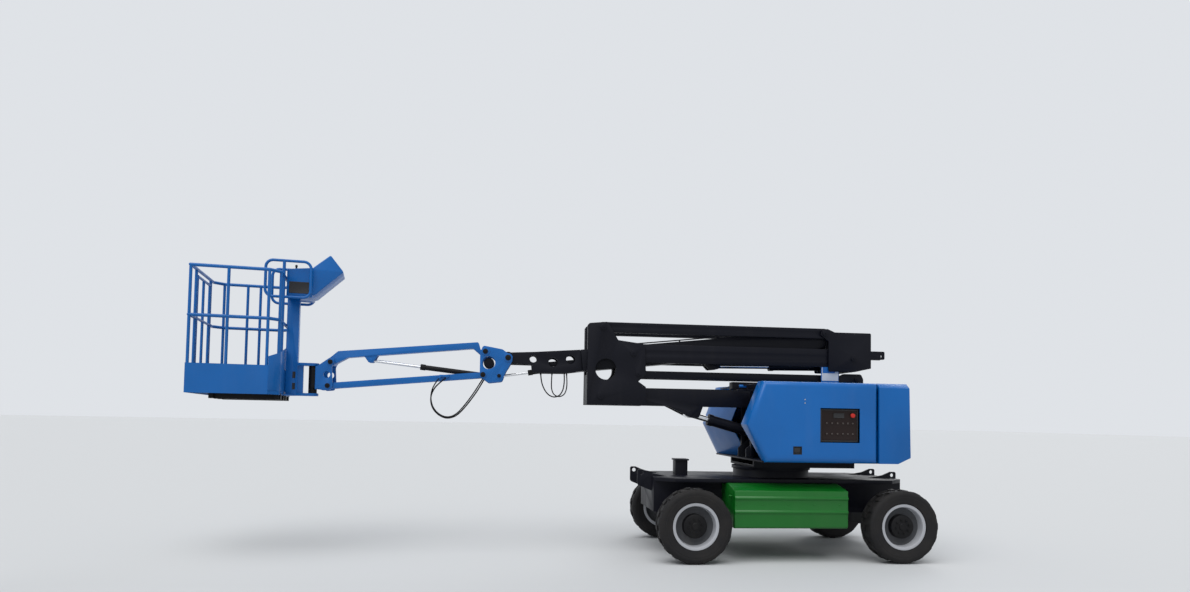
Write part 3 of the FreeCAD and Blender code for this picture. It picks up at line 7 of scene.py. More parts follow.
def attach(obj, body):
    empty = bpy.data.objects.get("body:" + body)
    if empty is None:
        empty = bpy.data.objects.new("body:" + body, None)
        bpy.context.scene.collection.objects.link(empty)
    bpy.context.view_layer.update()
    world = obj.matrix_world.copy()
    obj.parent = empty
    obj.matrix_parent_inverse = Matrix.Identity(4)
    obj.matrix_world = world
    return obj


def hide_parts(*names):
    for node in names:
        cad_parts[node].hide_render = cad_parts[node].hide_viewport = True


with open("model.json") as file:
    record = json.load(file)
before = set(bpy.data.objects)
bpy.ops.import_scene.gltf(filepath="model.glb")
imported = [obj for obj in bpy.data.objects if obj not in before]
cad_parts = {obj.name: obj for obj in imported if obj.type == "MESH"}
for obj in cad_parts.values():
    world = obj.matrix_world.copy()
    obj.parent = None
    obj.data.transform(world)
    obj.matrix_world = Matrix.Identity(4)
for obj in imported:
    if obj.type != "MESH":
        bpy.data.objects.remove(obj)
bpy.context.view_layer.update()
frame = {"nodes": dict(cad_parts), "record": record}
scene = bpy.context.scene
NODES = frame["nodes"]

# Places and sizes are in the machine's own millimetres: X forwards from the slewing axis, Y to the
# machine's left, Z up. The model's origin is under the middle of the whole machine.
SLEW_X = -2.285689
AXLE_X = 1042
AXLE_Z = 360
WHEEL_Y = 810
DISH_RADIUS = 188
DISH_OUT = 70
HUB_NUTS = 8
NUT_RING = 68
COVER_BOTTOM = 977
COVER_TOP = 1771
COVER_HALF_W = 900
COVER_INNER_Y = 205
COVER_TOP_FRONT = 386
COVER_NOSE = (540, COVER_BOTTOM + 366)
COVER_LOW_FRONT = 355
COVER_INNER_CORNER = ((386, 724, 1771), (540, 672, 1343), (355, 785, 977))
CAMERA_PLACE = (2810, 8050, 1370)
CAMERA_TURN = (92.5, -0.989, 173.757)
SEAM_X = -788
PANEL_X = (-592, -188)
PANEL_Z = (COVER_BOTTOM + 202, COVER_BOTTOM + 539)
SWITCH_XS = (-528, -478, -428, -372, -316, -262)
LATCH_X = (-4, 86)
LATCH_Z = (COVER_BOTTOM + 81, COVER_BOTTOM + 161)
HINGE_XS = (-700, -180, 340)
HINGE_Z = COVER_TOP - 25
STRAP_Y = (190, 800)
RIVET_X = -31
RIVET_PITCH = 34
LOWER_ARM_PIN = (-510, 1615)
LOWER_LINK_PIN = (-905, 1850)
KNUCKLE_ARM_PIN = (1900, 1615)
KNUCKLE_LINK_PIN = (1505, 1850)
UPPER_ARM_PIN = (1560, 2070)
UPPER_LINK_PIN = (1880, 2335)
UPRIGHT_ARM_PIN = (-850, 2070)
UPRIGHT_LINK_PIN = (-530, 2335)
HEAD_CORNER = (2083.745, 1872.135)
TIP_PIVOT = (2861.245, 1991.732)
LEVEL_EYE = (2951.245, 1799.732)
JIB_ARM_PIN = (3096.245, 2050.732)
JIB_LINK_PIN = (3117.245, 1808.732)
HEAD_ARM_PIN = (4654.245, 1903.732)
HEAD_LINK_PIN = (4675.245, 1661.732)
BRACKET_HOLE = (3059.245, 1934.732)
ROTATOR_X = 4845.245
PLATFORM_Z = 1549.732
PLATFORM_YAW = math.radians(9.6)
CONSOLE_BOTTOM = PLATFORM_Z + 990
CONSOLE_TOP = CONSOLE_BOTTOM + 283
LEVER_X = ROTATOR_X + 185
CONSOLE_HALF_W = 200
TOE_TOP = PLATFORM_Z + 275
BASKET_REAR = ROTATOR_X + 265
BASKET_HALF_W = 560
BASKET_BEVEL = 92
COLUMN_HALF_W = 55
SIDE_BOX_FRONT = 647
SIDE_BOX_TOP = 756
SIDE_BOX_Y = 850
SIDE_BOX_BOLT_XS = (-410, -150, 110, 370, 630)
SLEW_BOLTS = 30
SLEW_BOLT_RING = 385
SLEW_BOLT_Z = 873
RAIL_TOP = COVER_TOP - 59
SIGN_X = (-700, -500)
SIGN_Y = (164, 170)
SIGN_Z = (RAIL_TOP + 6, 2038)
BOOM_TILT = 6.21
ARM_CHANNEL = ((-330, 450), (-62, 62), (1716, 1796))


def at(x, y, z):
    """The model's point for a place in the machine's millimetres."""
    return Vector((x / 1000 + SLEW_X, y / 1000, z / 1000))


def side(s, low, high):
    """The range of Y between two distances from the middle, on the side whose sign is s."""
    return sorted((s * low, s * high))


def turn_about(point, angle, axis):
    """The matrix that turns about an axis through a point."""
    return Matrix.Translation(point) @ Matrix.Rotation(angle, 4, axis) @ Matrix.Translation(-point)


# Camera and light

def camera():
    data = bpy.data.cameras.new("camera")
    data.lens = 22.99
    data.sensor_width = 36
    data.shift_y = 0.0755
    data.clip_end = 400
    eye = bpy.data.objects.new("camera", data)
    eye.location = at(*CAMERA_PLACE)
    eye.rotation_euler = [math.radians(a) for a in CAMERA_TURN]
    scene.collection.objects.link(eye)
    scene.camera = eye


def sun(name, direction, strength, softness):
    data = bpy.data.lights.new(name, "SUN")
    data.energy = strength
    data.angle = math.radians(softness)
    lamp = bpy.data.objects.new(name, data)
    lamp.rotation_euler = Vector(direction).to_track_quat("Z", "Y").to_euler()
    scene.collection.objects.link(lamp)


def studio():
    """A pale, even room with one broad soft light overhead and to the left and a weak one behind."""
    world = bpy.data.worlds.new("studio")
    scene.world = world
    world.use_nodes = True
    tree = world.node_tree
    tree.nodes.clear()
    output = tree.nodes.new("ShaderNodeOutputWorld")
    seen = tree.nodes.new("ShaderNodeBackground")
    seen.inputs["Color"].default_value = (0.74, 0.765, 0.80, 1)
    light = tree.nodes.new("ShaderNodeBackground")
    light.inputs["Color"].default_value = (0.93, 0.965, 1.0, 1)
    light.inputs["Strength"].default_value = 0.50
    path = tree.nodes.new("ShaderNodeLightPath")
    either = tree.nodes.new("ShaderNodeMath")
    either.operation = "MAXIMUM"
    mix = tree.nodes.new("ShaderNodeMixShader")
    tree.links.new(path.outputs["Is Camera Ray"], either.inputs[0])
    tree.links.new(path.outputs["Is Glossy Ray"], either.inputs[1])
    tree.links.new(either.outputs[0], mix.inputs["Fac"])
    tree.links.new(light.outputs[0], mix.inputs[1])
    tree.links.new(seen.outputs[0], mix.inputs[2])
    tree.links.new(mix.outputs[0], output.inputs["Surface"])
    sun("main_light", (0.28, 0.46, 1.00), 2.15, 60)
    sun("back_light", (-0.5, -0.8, 0.6), 0.5, 30)


camera()
studio()
scene.view_settings.view_transform = "Standard"


# Finishes

def new_material(name):
    material = bpy.data.materials.new(name)
    material.use_nodes = True
    tree = material.node_tree
    tree.nodes.clear()
    output = tree.nodes.new("ShaderNodeOutputMaterial")
    shader = tree.nodes.new("ShaderNodeBsdfPrincipled")
    tree.links.new(shader.outputs["BSDF"], output.inputs["Surface"])
    return material, tree, shader


def object_noise(tree, scale, detail=3.0, stretch=(1, 1, 1)):
    """Noise on the piece's own coordinates."""
    place = tree.nodes.new("ShaderNodeTexCoord")
    mapping = tree.nodes.new("ShaderNodeMapping")
    mapping.inputs["Scale"].default_value = stretch
    noise = tree.nodes.new("ShaderNodeTexNoise")
    noise.inputs["Scale"].default_value = scale
    noise.inputs["Detail"].default_value = detail
    tree.links.new(place.outputs["Object"], mapping.inputs["Vector"])
    tree.links.new(mapping.outputs["Vector"], noise.inputs["Vector"])
    return noise.outputs["Fac"]


def ramp(tree, source, low, high, first, last):
    """Turns a value between low and high into a blend of two colours."""
    node = tree.nodes.new("ShaderNodeValToRGB")
    node.color_ramp.elements[0].position = low
    node.color_ramp.elements[0].color = (*first, 1)
    node.color_ramp.elements[1].position = high
    node.color_ramp.elements[1].color = (*last, 1)
    tree.links.new(source, node.inputs["Fac"])
    return node.outputs["Color"]


def blend(tree, amount, first, second):
    """Blends a colour socket towards a plain colour."""
    node = tree.nodes.new("ShaderNodeMix")
    node.data_type = "RGBA"
    tree.links.new(amount, node.inputs["Factor"])
    colours = [socket for socket in node.inputs if socket.type == "RGBA"]
    tree.links.new(first, colours[0])
    colours[1].default_value = (*second, 1)
    return [socket for socket in node.outputs if socket.type == "RGBA"][0]


def range_of(tree, source, low, high, out_low, out_high):
    node = tree.nodes.new("ShaderNodeMapRange")
    node.inputs["From Min"].default_value = low
    node.inputs["From Max"].default_value = high
    node.inputs["To Min"].default_value = out_low
    node.inputs["To Max"].default_value = out_high
    tree.links.new(source, node.inputs["Value"])
    return node.outputs["Result"]


def bump(tree, shader, source, strength, distance):
    node = tree.nodes.new("ShaderNodeBump")
    node.inputs["Strength"].default_value = strength
    node.inputs["Distance"].default_value = distance
    tree.links.new(source, node.inputs["Height"])
    tree.links.new(node.outputs["Normal"], shader.inputs["Normal"])


def scaled(colour, k):
    return tuple(min(1.0, c * k) for c in colour)


def enamel(name, colour, roughness=0.34, coat=0.12, specular=0.35, dust=(0.30, 0.27, 0.23), dust_amount=0.08):
    """Sprayed machine enamel: a faint mottle, orange peel, and thin dust in streaks."""
    material, tree, shader = new_material(name)
    broad = object_noise(tree, 1.7, 4.0)
    fine = object_noise(tree, 38.0, 2.0)
    streak = object_noise(tree, 7.0, 5.0, (1.0, 1.0, 0.22))
    base = ramp(tree, broad, 0.30, 0.75, scaled(colour, 0.92), scaled(colour, 1.08))
    patches = range_of(tree, streak, 0.52, 0.80, 0.0, dust_amount)
    tree.links.new(blend(tree, patches, base, dust), shader.inputs["Base Color"])
    worn = range_of(tree, streak, 0.3, 0.8, roughness - 0.05, roughness + 0.14)
    tree.links.new(worn, shader.inputs["Roughness"])
    shader.inputs["Specular IOR Level"].default_value = specular
    shader.inputs["Coat Weight"].default_value = coat
    shader.inputs["Coat Roughness"].default_value = 0.16
    bump(tree, shader, fine, 0.06, 0.0006)
    return material


def rubber(name, colour=(0.0080, 0.0076, 0.0084)):
    """Tyre rubber with grey road dust in the mottle."""
    material, tree, shader = new_material(name)
    dust = object_noise(tree, 6.0, 6.0)
    grain = object_noise(tree, 160.0, 3.0)
    base = ramp(tree, dust, 0.42, 0.78, colour, (0.022, 0.020, 0.019))
    tree.links.new(base, shader.inputs["Base Color"])
    tree.links.new(range_of(tree, dust, 0.3, 0.8, 0.66, 0.88), shader.inputs["Roughness"])
    shader.inputs["Specular IOR Level"].default_value = 0.3
    bump(tree, shader, grain, 0.25, 0.0012)
    return material


def bright_metal(name, colour, roughness):
    """Bare or plated metal with fine turning lines along X."""
    material, tree, shader = new_material(name)
    lines = object_noise(tree, 60.0, 2.0, (0.05, 1.0, 1.0))
    tree.links.new(ramp(tree, lines, 0.3, 0.7, scaled(colour, 0.85), colour), shader.inputs["Base Color"])
    shader.inputs["Metallic"].default_value = 1.0
    turned = range_of(tree, lines, 0.3, 0.7, roughness - 0.05, roughness + 0.07)
    tree.links.new(turned, shader.inputs["Roughness"])
    return material


def plastic(name, colour, roughness=0.5, specular=0.4):
    """Moulded plastic with a fine grain."""
    material, tree, shader = new_material(name)
    broad = object_noise(tree, 4.0, 3.0)
    grain = object_noise(tree, 420.0, 2.0)
    base = ramp(tree, broad, 0.3, 0.7, scaled(colour, 0.88), scaled(colour, 1.15))
    tree.links.new(base, shader.inputs["Base Color"])
    satin = range_of(tree, broad, 0.3, 0.7, roughness - 0.06, roughness + 0.08)
    tree.links.new(satin, shader.inputs["Roughness"])
    shader.inputs["Specular IOR Level"].default_value = specular
    bump(tree, shader, grain, 0.12, 0.0004)
    return material


BLUE = enamel("blue_enamel", (0.001, 0.118, 0.410), specular=0.32, dust_amount=0.025)
BLUE_WEIGHT = enamel("blue_casting_enamel", (0.001, 0.114, 0.395), 0.40, 0.08, 0.30, dust_amount=0.025)
NAVY = enamel("navy_black_enamel", (0.0050, 0.0055, 0.0100), 0.44, 0.03, 0.14, dust_amount=0.012)
BLACK = enamel("black_enamel", (0.0060, 0.0060, 0.0070), 0.46, 0.03, 0.16, dust_amount=0.02)
GREEN = enamel("green_enamel", (0.002, 0.125, 0.010), 0.34, 0.14, dust_amount=0.03)
SILVER = enamel("silver_enamel", (0.42, 0.43, 0.46), 0.40, 0.10, dust_amount=0.10)
# The wheel dishes' darker grey is painted shade: the rim is one silver paint, and only the shade that falls
# in the dish makes it darker.
DISH_PAINTED_SHADE = enamel("dish_painted_shade_grey", (0.060, 0.063, 0.070), 0.5, 0.0, 0.3, dust_amount=0.12)
RUBBER = rubber("tyre_rubber_dusty")
HOSE = plastic("hose_rubber_satin", (0.006, 0.006, 0.007), 0.5, 0.2)
CONSOLE = plastic("console_moulding", (0.018, 0.018, 0.020), 0.5)
PANEL = plastic("panel_face", (0.016, 0.009, 0.008), 0.45, 0.2)
SWITCH = plastic("switch_grey", (0.075, 0.060, 0.055), 0.4)
WHITE = plastic("blank_plate_white", (0.66, 0.68, 0.70), 0.4)
RED = plastic("stop_button_red", (0.50, 0.018, 0.010), 0.32)
CHROME = bright_metal("rod_chrome", (0.78, 0.79, 0.81), 0.16)
STEEL = bright_metal("zinc_bolt", (0.52, 0.52, 0.50), 0.36)

FINISH = {"blue_paint": BLUE, "navy_paint": NAVY, "green_paint": GREEN, "black_paint": BLACK,
          "silver_paint": SILVER, "chrome_rod": CHROME, "tyre_rubber": RUBBER, "weight_iron": BLUE_WEIGHT,
          "console_plastic": CONSOLE, "hose_rubber": HOSE}
SLOT = {part["node"]: part["material_slot"] for part in frame["record"]["subparts"]}
BODY = {node: body for body, nodes in frame["record"]["behaviour"]["bodies"].items() for node in nodes}

for node, obj in NODES.items():
    obj.data.materials.clear()
    obj.data.materials.append(FINISH[SLOT[node]])


# Modelling helpers

def deselect():
    bpy.ops.object.select_all(action="DESELECT")


def only(obj):
    deselect()
    obj.select_set(True)
    bpy.context.view_layer.objects.active = obj


def apply(obj, kind, **settings):
    modifier = obj.modifiers.new(kind.lower(), kind)
    for key, value in settings.items():
        setattr(modifier, key, value)
    only(obj)
    bpy.ops.object.modifier_apply(modifier=modifier.name)


def ease(obj, width, segments=2, angle=30):
    """Rounds the edges sharper than the angle; the width is in millimetres."""
    apply(obj, "BEVEL", width=width / 1000, segments=segments, limit_method="ANGLE",
          angle_limit=math.radians(angle), use_clamp_overlap=True)


def box(x, y, z):
    """A cube stretched to three (low, high) pairs."""
    deselect()
    centre = at(sum(x) / 2, sum(y) / 2, sum(z) / 2)
    size = ((x[1] - x[0]) / 1000, (y[1] - y[0]) / 1000, (z[1] - z[0]) / 1000)
    bpy.ops.mesh.primitive_cube_add(size=1, location=centre, scale=size)
    bpy.ops.object.transform_apply(location=True, rotation=True, scale=True)
    return bpy.context.object


def cylinder(centre, radius, length, axis="Y", sides=32):
    """A cylinder about its middle, along one of the axes."""
    deselect()
    turn = {"X": (0, math.pi / 2, 0), "Y": (math.pi / 2, 0, 0), "Z": (0, 0, 0)}[axis]
    bpy.ops.mesh.primitive_cylinder_add(vertices=sides, radius=radius / 1000, depth=length / 1000,
                                        location=at(*centre), rotation=turn)
    bpy.ops.object.transform_apply(location=True, rotation=True, scale=True)
    return bpy.context.object


def select_faces(obj, wanted):
    """Selects, in edit mode, the faces for which wanted(centre, normal) is true."""
    only(obj)
    bpy.ops.object.mode_set(mode="EDIT")
    bpy.ops.mesh.select_mode(type="FACE")
    bpy.ops.mesh.select_all(action="DESELECT")
    bpy.ops.object.mode_set(mode="OBJECT")
    for face in obj.data.polygons:
        face.select = wanted(face.center, face.normal)
    bpy.ops.object.mode_set(mode="EDIT")


def inset(obj, wanted, border, depth):
    """Insets the wanted faces by border and pushes them in by depth, in millimetres."""
    select_faces(obj, wanted)
    bpy.ops.mesh.inset(thickness=border / 1000, depth=0)
    bpy.ops.mesh.inset(thickness=0.0002, depth=-depth / 1000)
    bpy.ops.object.mode_set(mode="OBJECT")


def cut_off(obj, point, normal, fill=True):
    """Bisects the mesh and throws away what lies on the side that the normal points to."""
    only(obj)
    bpy.ops.object.mode_set(mode="EDIT")
    bpy.ops.mesh.select_all(action="SELECT")
    bpy.ops.mesh.bisect(plane_co=point, plane_no=Vector(normal).normalized(), use_fill=fill,
                        clear_outer=True, clear_inner=False)
    bpy.ops.object.mode_set(mode="OBJECT")


def score(obj, point, normal):
    """Adds the edges where a plane crosses the mesh."""
    only(obj)
    bpy.ops.object.mode_set(mode="EDIT")
    bpy.ops.mesh.select_all(action="SELECT")
    bpy.ops.mesh.bisect(plane_co=point, plane_no=normal, use_fill=False)
    bpy.ops.object.mode_set(mode="OBJECT")


def delete_faces(obj, wanted):
    select_faces(obj, wanted)
    bpy.ops.mesh.delete(type="FACE")
    bpy.ops.object.mode_set(mode="OBJECT")


def join(objects):
    first = objects[0]
    if len(objects) > 1:
        deselect()
        for obj in objects:
            obj.select_set(True)
        bpy.context.view_layer.objects.active = first
        bpy.ops.object.join()
    return first


def outward(obj):
    only(obj)
    bpy.ops.object.mode_set(mode="EDIT")
    bpy.ops.mesh.select_all(action="SELECT")
    bpy.ops.mesh.remove_doubles(threshold=0.00001)
    bpy.ops.mesh.normals_make_consistent(inside=False)
    bpy.ops.object.mode_set(mode="OBJECT")


def dress(obj, name, body, material, smooth=35):
    """Names a finished piece, gives it its finish and lets it ride."""
    obj.name = name
    obj.data.name = name
    if material:
        obj.data.materials.clear()
        obj.data.materials.append(material)
    only(obj)
    bpy.ops.object.shade_smooth_by_angle(angle=math.radians(smooth))
    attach(obj, body)
    return obj


def copy_of(obj, matrix):
    """A copy with its own mesh, moved by the matrix within its mesh."""
    twin = obj.copy()
    twin.data = obj.data.copy()
    scene.collection.objects.link(twin)
    twin.data.transform(matrix)
    if matrix.determinant() < 0:
        twin.data.flip_normals()
    return twin


def copies(pattern, matrices):
    """One object of copies of the pattern, which is thrown away."""
    group = join([copy_of(pattern, matrix) for matrix in matrices])
    bpy.data.objects.remove(pattern)
    return group


OTHER_SIDE = Matrix.Scale(-1, 4, (0, 1, 0))


def spun(profile, axis_point, steps=48):
    """A (radius, y) outline in millimetres, spun about the Y axis through a point."""
    deselect()
    start = at(axis_point[0] + profile[0][0], axis_point[1] + profile[0][1], axis_point[2])
    bpy.ops.mesh.primitive_plane_add(size=0.001, location=start)
    bpy.ops.object.transform_apply(location=True, rotation=True, scale=True)
    obj = bpy.context.object
    bpy.ops.object.mode_set(mode="EDIT")
    bpy.ops.mesh.select_all(action="SELECT")
    bpy.ops.mesh.merge(type="CENTER")
    for (r0, y0), (r1, y1) in zip(profile, profile[1:]):
        bpy.ops.mesh.extrude_vertices_move(TRANSFORM_OT_translate={
            "value": ((r1 - r0) / 1000, (y1 - y0) / 1000, 0)})
    bpy.ops.mesh.select_all(action="SELECT")
    bpy.ops.mesh.spin(steps=steps, angle=math.tau, center=at(*axis_point), axis=(0, 1, 0))
    bpy.ops.mesh.select_all(action="SELECT")
    bpy.ops.mesh.remove_doubles(threshold=0.00002)
    bpy.ops.mesh.normals_make_consistent(inside=False)
    bpy.ops.object.mode_set(mode="OBJECT")
    return obj


def eased(node, width, dissolve=0.5):
    """A copy of a CAD node with its edges eased, standing for it."""
    source = NODES[node]
    copy = source.copy()
    copy.data = source.data.copy()
    copy.parent = None
    copy.matrix_world = source.matrix_world
    for key in [k for k in copy.keys() if k.startswith("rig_")]:
        del copy[key]
    scene.collection.objects.link(copy)
    only(copy)
    bpy.ops.object.mode_set(mode="EDIT")
    bpy.ops.mesh.select_all(action="SELECT")
    bpy.ops.mesh.remove_doubles(threshold=0.00002)
    bpy.ops.mesh.dissolve_limited(angle_limit=math.radians(dissolve))
    bpy.ops.object.mode_set(mode="OBJECT")
    ease(copy, width, 2, 40)
    dress(copy, node + "_eased", BODY[node], FINISH[SLOT[node]])
    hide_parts(node)
    return copy


# Hoses that hang in loops under the boom's head and under the jib

# Radius, Y, the point that the route is measured from, length in metres, and the route as (X, Z)
# distances from that point.
HOSES = {
    "jib_hose_long": (7, 77, JIB_LINK_PIN, 1.134,
                      [(378, -41), (443, -90), (507, -164), (534, -261), (508, -362), (435, -435),
                       (349, -462), (257, -429), (171, -333), (89, -220), (30, -126), (-13, -45)]),
    "jib_hose_short": (6.5, 91.2, JIB_LINK_PIN, 1.052,
                       [(449, -47), (491, -105), (521, -179), (528, -264), (500, -357), (428, -427),
                        (345, -449), (263, -416), (183, -323), (104, -212), (43, -113), (4, -45)]),
    "head_hose_long": (6.5, 44.5, HEAD_CORNER, 0.590,
                       [(433, -48), (427, -110), (408, -170), (379, -224), (336, -266), (281, -282),
                        (229, -260), (198, -210), (186, -148), (183, -85), (186, -34)]),
    "head_hose_short": (6, 58, HEAD_CORNER, 0.534,
                        [(317, -48), (319, -94), (320, -146), (317, -200), (294, -255), (239, -278),
                         (184, -255), (161, -200), (156, -148), (157, -96), (161, -48)]),
}


def hose(name):
    radius, y, home, length, rows = HOSES[name]
    curve = bpy.data.curves.new(name + "_line", "CURVE")
    curve.dimensions = "3D"
    curve.bevel_depth = radius / 1000
    curve.bevel_resolution = 4
    curve.resolution_u = 10
    curve.use_fill_caps = True
    spline = curve.splines.new("NURBS")
    spline.points.add(len(rows) - 1)
    points = [at(home[0] + dx, y, home[1] + dz) for dx, dz in rows]
    for point, place in zip(spline.points, points):
        point.co = (*place, 1)
    spline.order_u = 3
    spline.use_endpoint_u = True
    obj = bpy.data.objects.new(name + "_line", curve)
    scene.collection.objects.link(obj)
    curve.materials.append(HOSE)
    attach(obj, BODY[name])
    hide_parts(name)


for name in HOSES:
    hose(name)


# Wheels

def wheel_places():
    """Each wheel's name and centre, with the sign of its outer side."""
    for end, x in (("front", AXLE_X), ("rear", -AXLE_X)):
        for side, s in (("left", 1), ("right", -1)):
            yield end + "_" + side, x, s


def rim_with_painted_dish_shade(name, x, s):
    """A copy of the rim whose flanges keep the silver paint and whose dish is painted a darker grey as
    painted shade, with a little dust.
    """
    node = "rim_" + name
    rim = eased(node, 1.5)
    rim.data.materials.append(DISH_PAINTED_SHADE)
    for face in rim.data.polygons:
        # Faces deep in the dish take the darker grey, which is painted shade.
        out = s * (face.center.y - s * WHEEL_Y / 1000)
        radius = math.hypot(face.center.x - x / 1000 - SLEW_X, face.center.z - AXLE_Z / 1000)
        face.material_index = 1 if radius < DISH_RADIUS / 1000 and out < DISH_OUT / 1000 else 0


def hub(name, x, s):
    """The dark hub in the dish: a stepped drum with a cap and eight nuts."""
    centre = (x, s * WHEEL_Y, AXLE_Z)
    outline = [(0, 86), (30, 86), (36, 82), (38, 76), (98, 76), (114, 68), (118, 58), (118, 9), (0, 9)]
    drum = spun([(r, s * y) for r, y in outline], centre)
    nut = cylinder((x, s * (WHEEL_Y + 81), AXLE_Z), 11, 12, "Y", 6)
    ease(nut, 1.2, 1)
    stud = cylinder((x, s * (WHEEL_Y + 86), AXLE_Z), 5.5, 12, "Y", 16)
    bolt = join([nut, stud])
    middle = at(*centre)
    turns = []
    for i in range(HUB_NUTS):
        turns.append(Matrix.Translation(middle) @ Matrix.Rotation(i * math.tau / HUB_NUTS + 0.2, 4, "Y")
                     @ Matrix.Translation(Vector((NUT_RING / 1000, 0, 0)) - middle))
    bolts = copies(bolt, turns)
    dress(join([drum, bolts]), "hub_" + name, "wheel_" + name, BLACK, 30)


def tyre_shoulders(name, x, s):
    """The smooth rounded shoulders between the sidewalls and the tread."""
    centre = (x, s * WHEEL_Y, AXLE_Z)
    outline = [(286, 112), (296, 119), (316, 120), (334, 116), (346, 107), (353, 95), (354.5, 80), (340, 66),
               (286, 66), (286, 112)]
    rings = [spun([(r, side * y) for r, y in outline], centre, 72) for side in (1, -1)]
    dress(join(rings), "tyre_shoulders_" + name, "wheel_" + name, RUBBER, 50)


for name, x, s in wheel_places():
    rim_with_painted_dish_shade(name, x, s)
    hub(name, x, s)
    tyre_shoulders(name, x, s)


# Side covers

def cover_skin(s):
    """The outer skin of a side cover, folded from a box and open below, behind and towards the riser.

    The picture gives only the outline of the inner front corner, not its depth, so the corner is cut
    along the lines of sight: the planes pass through the camera's place, mirrored for the right cover.
    """
    top_front = at(COVER_TOP_FRONT, 0, COVER_TOP)
    nose = at(COVER_NOSE[0], 0, COVER_NOSE[1])
    low_front = at(COVER_LOW_FRONT, 0, COVER_BOTTOM)
    y_range = side(s, COVER_INNER_Y, COVER_HALF_W)
    skin = box((SEAM_X + 5, COVER_NOSE[0]), y_range, (COVER_BOTTOM, COVER_TOP))
    for first, second in ((top_front, nose), (nose, low_front)):
        along = second - first
        cut_off(skin, first, Vector((-along.z, 0, along.x)))
    select_faces(skin, lambda c, n: s * n.y > 0.9)
    bpy.ops.mesh.region_to_loop()
    bpy.ops.mesh.bevel(offset=0.052, segments=5, profile=0.5, affect="EDGES")
    bpy.ops.object.mode_set(mode="OBJECT")
    high, nose_in, low = [at(x, s * y, z) for x, y, z in COVER_INNER_CORNER]
    eye = at(CAMERA_PLACE[0], s * CAMERA_PLACE[1], CAMERA_PLACE[2])
    for first, second in ((high, nose_in), (nose_in, low)):
        cut_off(skin, nose_in, s * (first - eye).cross(second - eye))
    rear = at(SEAM_X + 6, 0, 0).x
    floor = at(0, 0, COVER_BOTTOM + 2).z
    delete_faces(skin, lambda c, n: c.x < rear or n.z < -0.95 and c.z < floor or s * n.y < -0.9)
    return skin


def window_in(skin, x, z, s):
    """Scores a rectangle in the side of the skin and takes it out."""
    for place, normal in ((at(x[0], 0, 0), (1, 0, 0)), (at(x[1], 0, 0), (1, 0, 0)),
                          (at(0, 0, z[0]), (0, 0, 1)), (at(0, 0, z[1]), (0, 0, 1))):
        score(skin, place, normal)
    low, high = at(x[0], 0, z[0]), at(x[1], 0, z[1])
    delete_faces(skin, lambda c, n: s * n.y > 0.9 and low.x < c.x < high.x and low.z < c.z < high.z)


def latch(s):
    """The moulded cup and paddle of the cover's latch."""
    y = side(s, COVER_HALF_W - 24, COVER_HALF_W - 1)
    cup = box((LATCH_X[0] + 1, LATCH_X[1] - 1), y, (LATCH_Z[0] + 1, LATCH_Z[1] - 1))
    inset(cup, lambda c, n: s * n.y > 0.9, 5, 17)
    ease(cup, 2)
    paddle = box((LATCH_X[0] + 12, LATCH_X[1] - 12), side(s, COVER_HALF_W - 18, COVER_HALF_W - 8),
                 (LATCH_Z[0] + 18, LATCH_Z[1] - 12))
    ease(paddle, 3)
    return join([cup, paddle])


def cover_hinges(s):
    """The hinge tubes along the cover's inner top edge, with leaves on all but the front one."""
    hinges = []
    for x in HINGE_XS:
        tube = cylinder((x + 40, s * COVER_INNER_Y, HINGE_Z), 15, 79, "X", 24)
        ease(tube, 1.5, 1)
        if x < HINGE_XS[-1]:
            leaf = box((x + 10, x + 70), side(s, COVER_INNER_Y, COVER_INNER_Y + 110),
                       (HINGE_Z + 9, COVER_TOP - 10))
            ease(leaf, 1.5, 1)
            hinges.append(leaf)
        hinges.append(tube)
    return hinges


def side_cover(name, s):
    """A cover with its hinges, strap, latch and rivets; the left one is open at the ground panel."""
    body = name + "_cover"
    skin = cover_skin(s)
    window_in(skin, LATCH_X, LATCH_Z, s)
    if name == "left":
        window_in(skin, PANEL_X, PANEL_Z, s)
    outward(skin)
    apply(skin, "SOLIDIFY", thickness=0.010, offset=-1)
    hinges = cover_hinges(s)
    strap = box((HINGE_XS[-1] - 10, COVER_TOP_FRONT - 8), side(s, *STRAP_Y), (COVER_TOP - 24, COVER_TOP - 10))
    ease(strap, 2)
    dress(strap, "hinge_strap_" + name, body, NAVY)
    cover = dress(join([skin] + hinges), "cover_" + name, body, BLUE, 40)
    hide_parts("hood_" + name)
    dress(latch(s), "latch_" + name, body, CONSOLE)
    rivet = cylinder((RIVET_X, s * (COVER_HALF_W + 1), COVER_TOP - 176), 6, 4, "Y", 20)
    ease(rivet, 1.2)
    rivets = copies(rivet, [Matrix.Translation((0, 0, -i * RIVET_PITCH / 1000)) for i in range(2)])
    dress(rivets, "cover_rivets_" + name, body, STEEL)


side_cover("left", 1)
side_cover("right", -1)


# Ground control panel

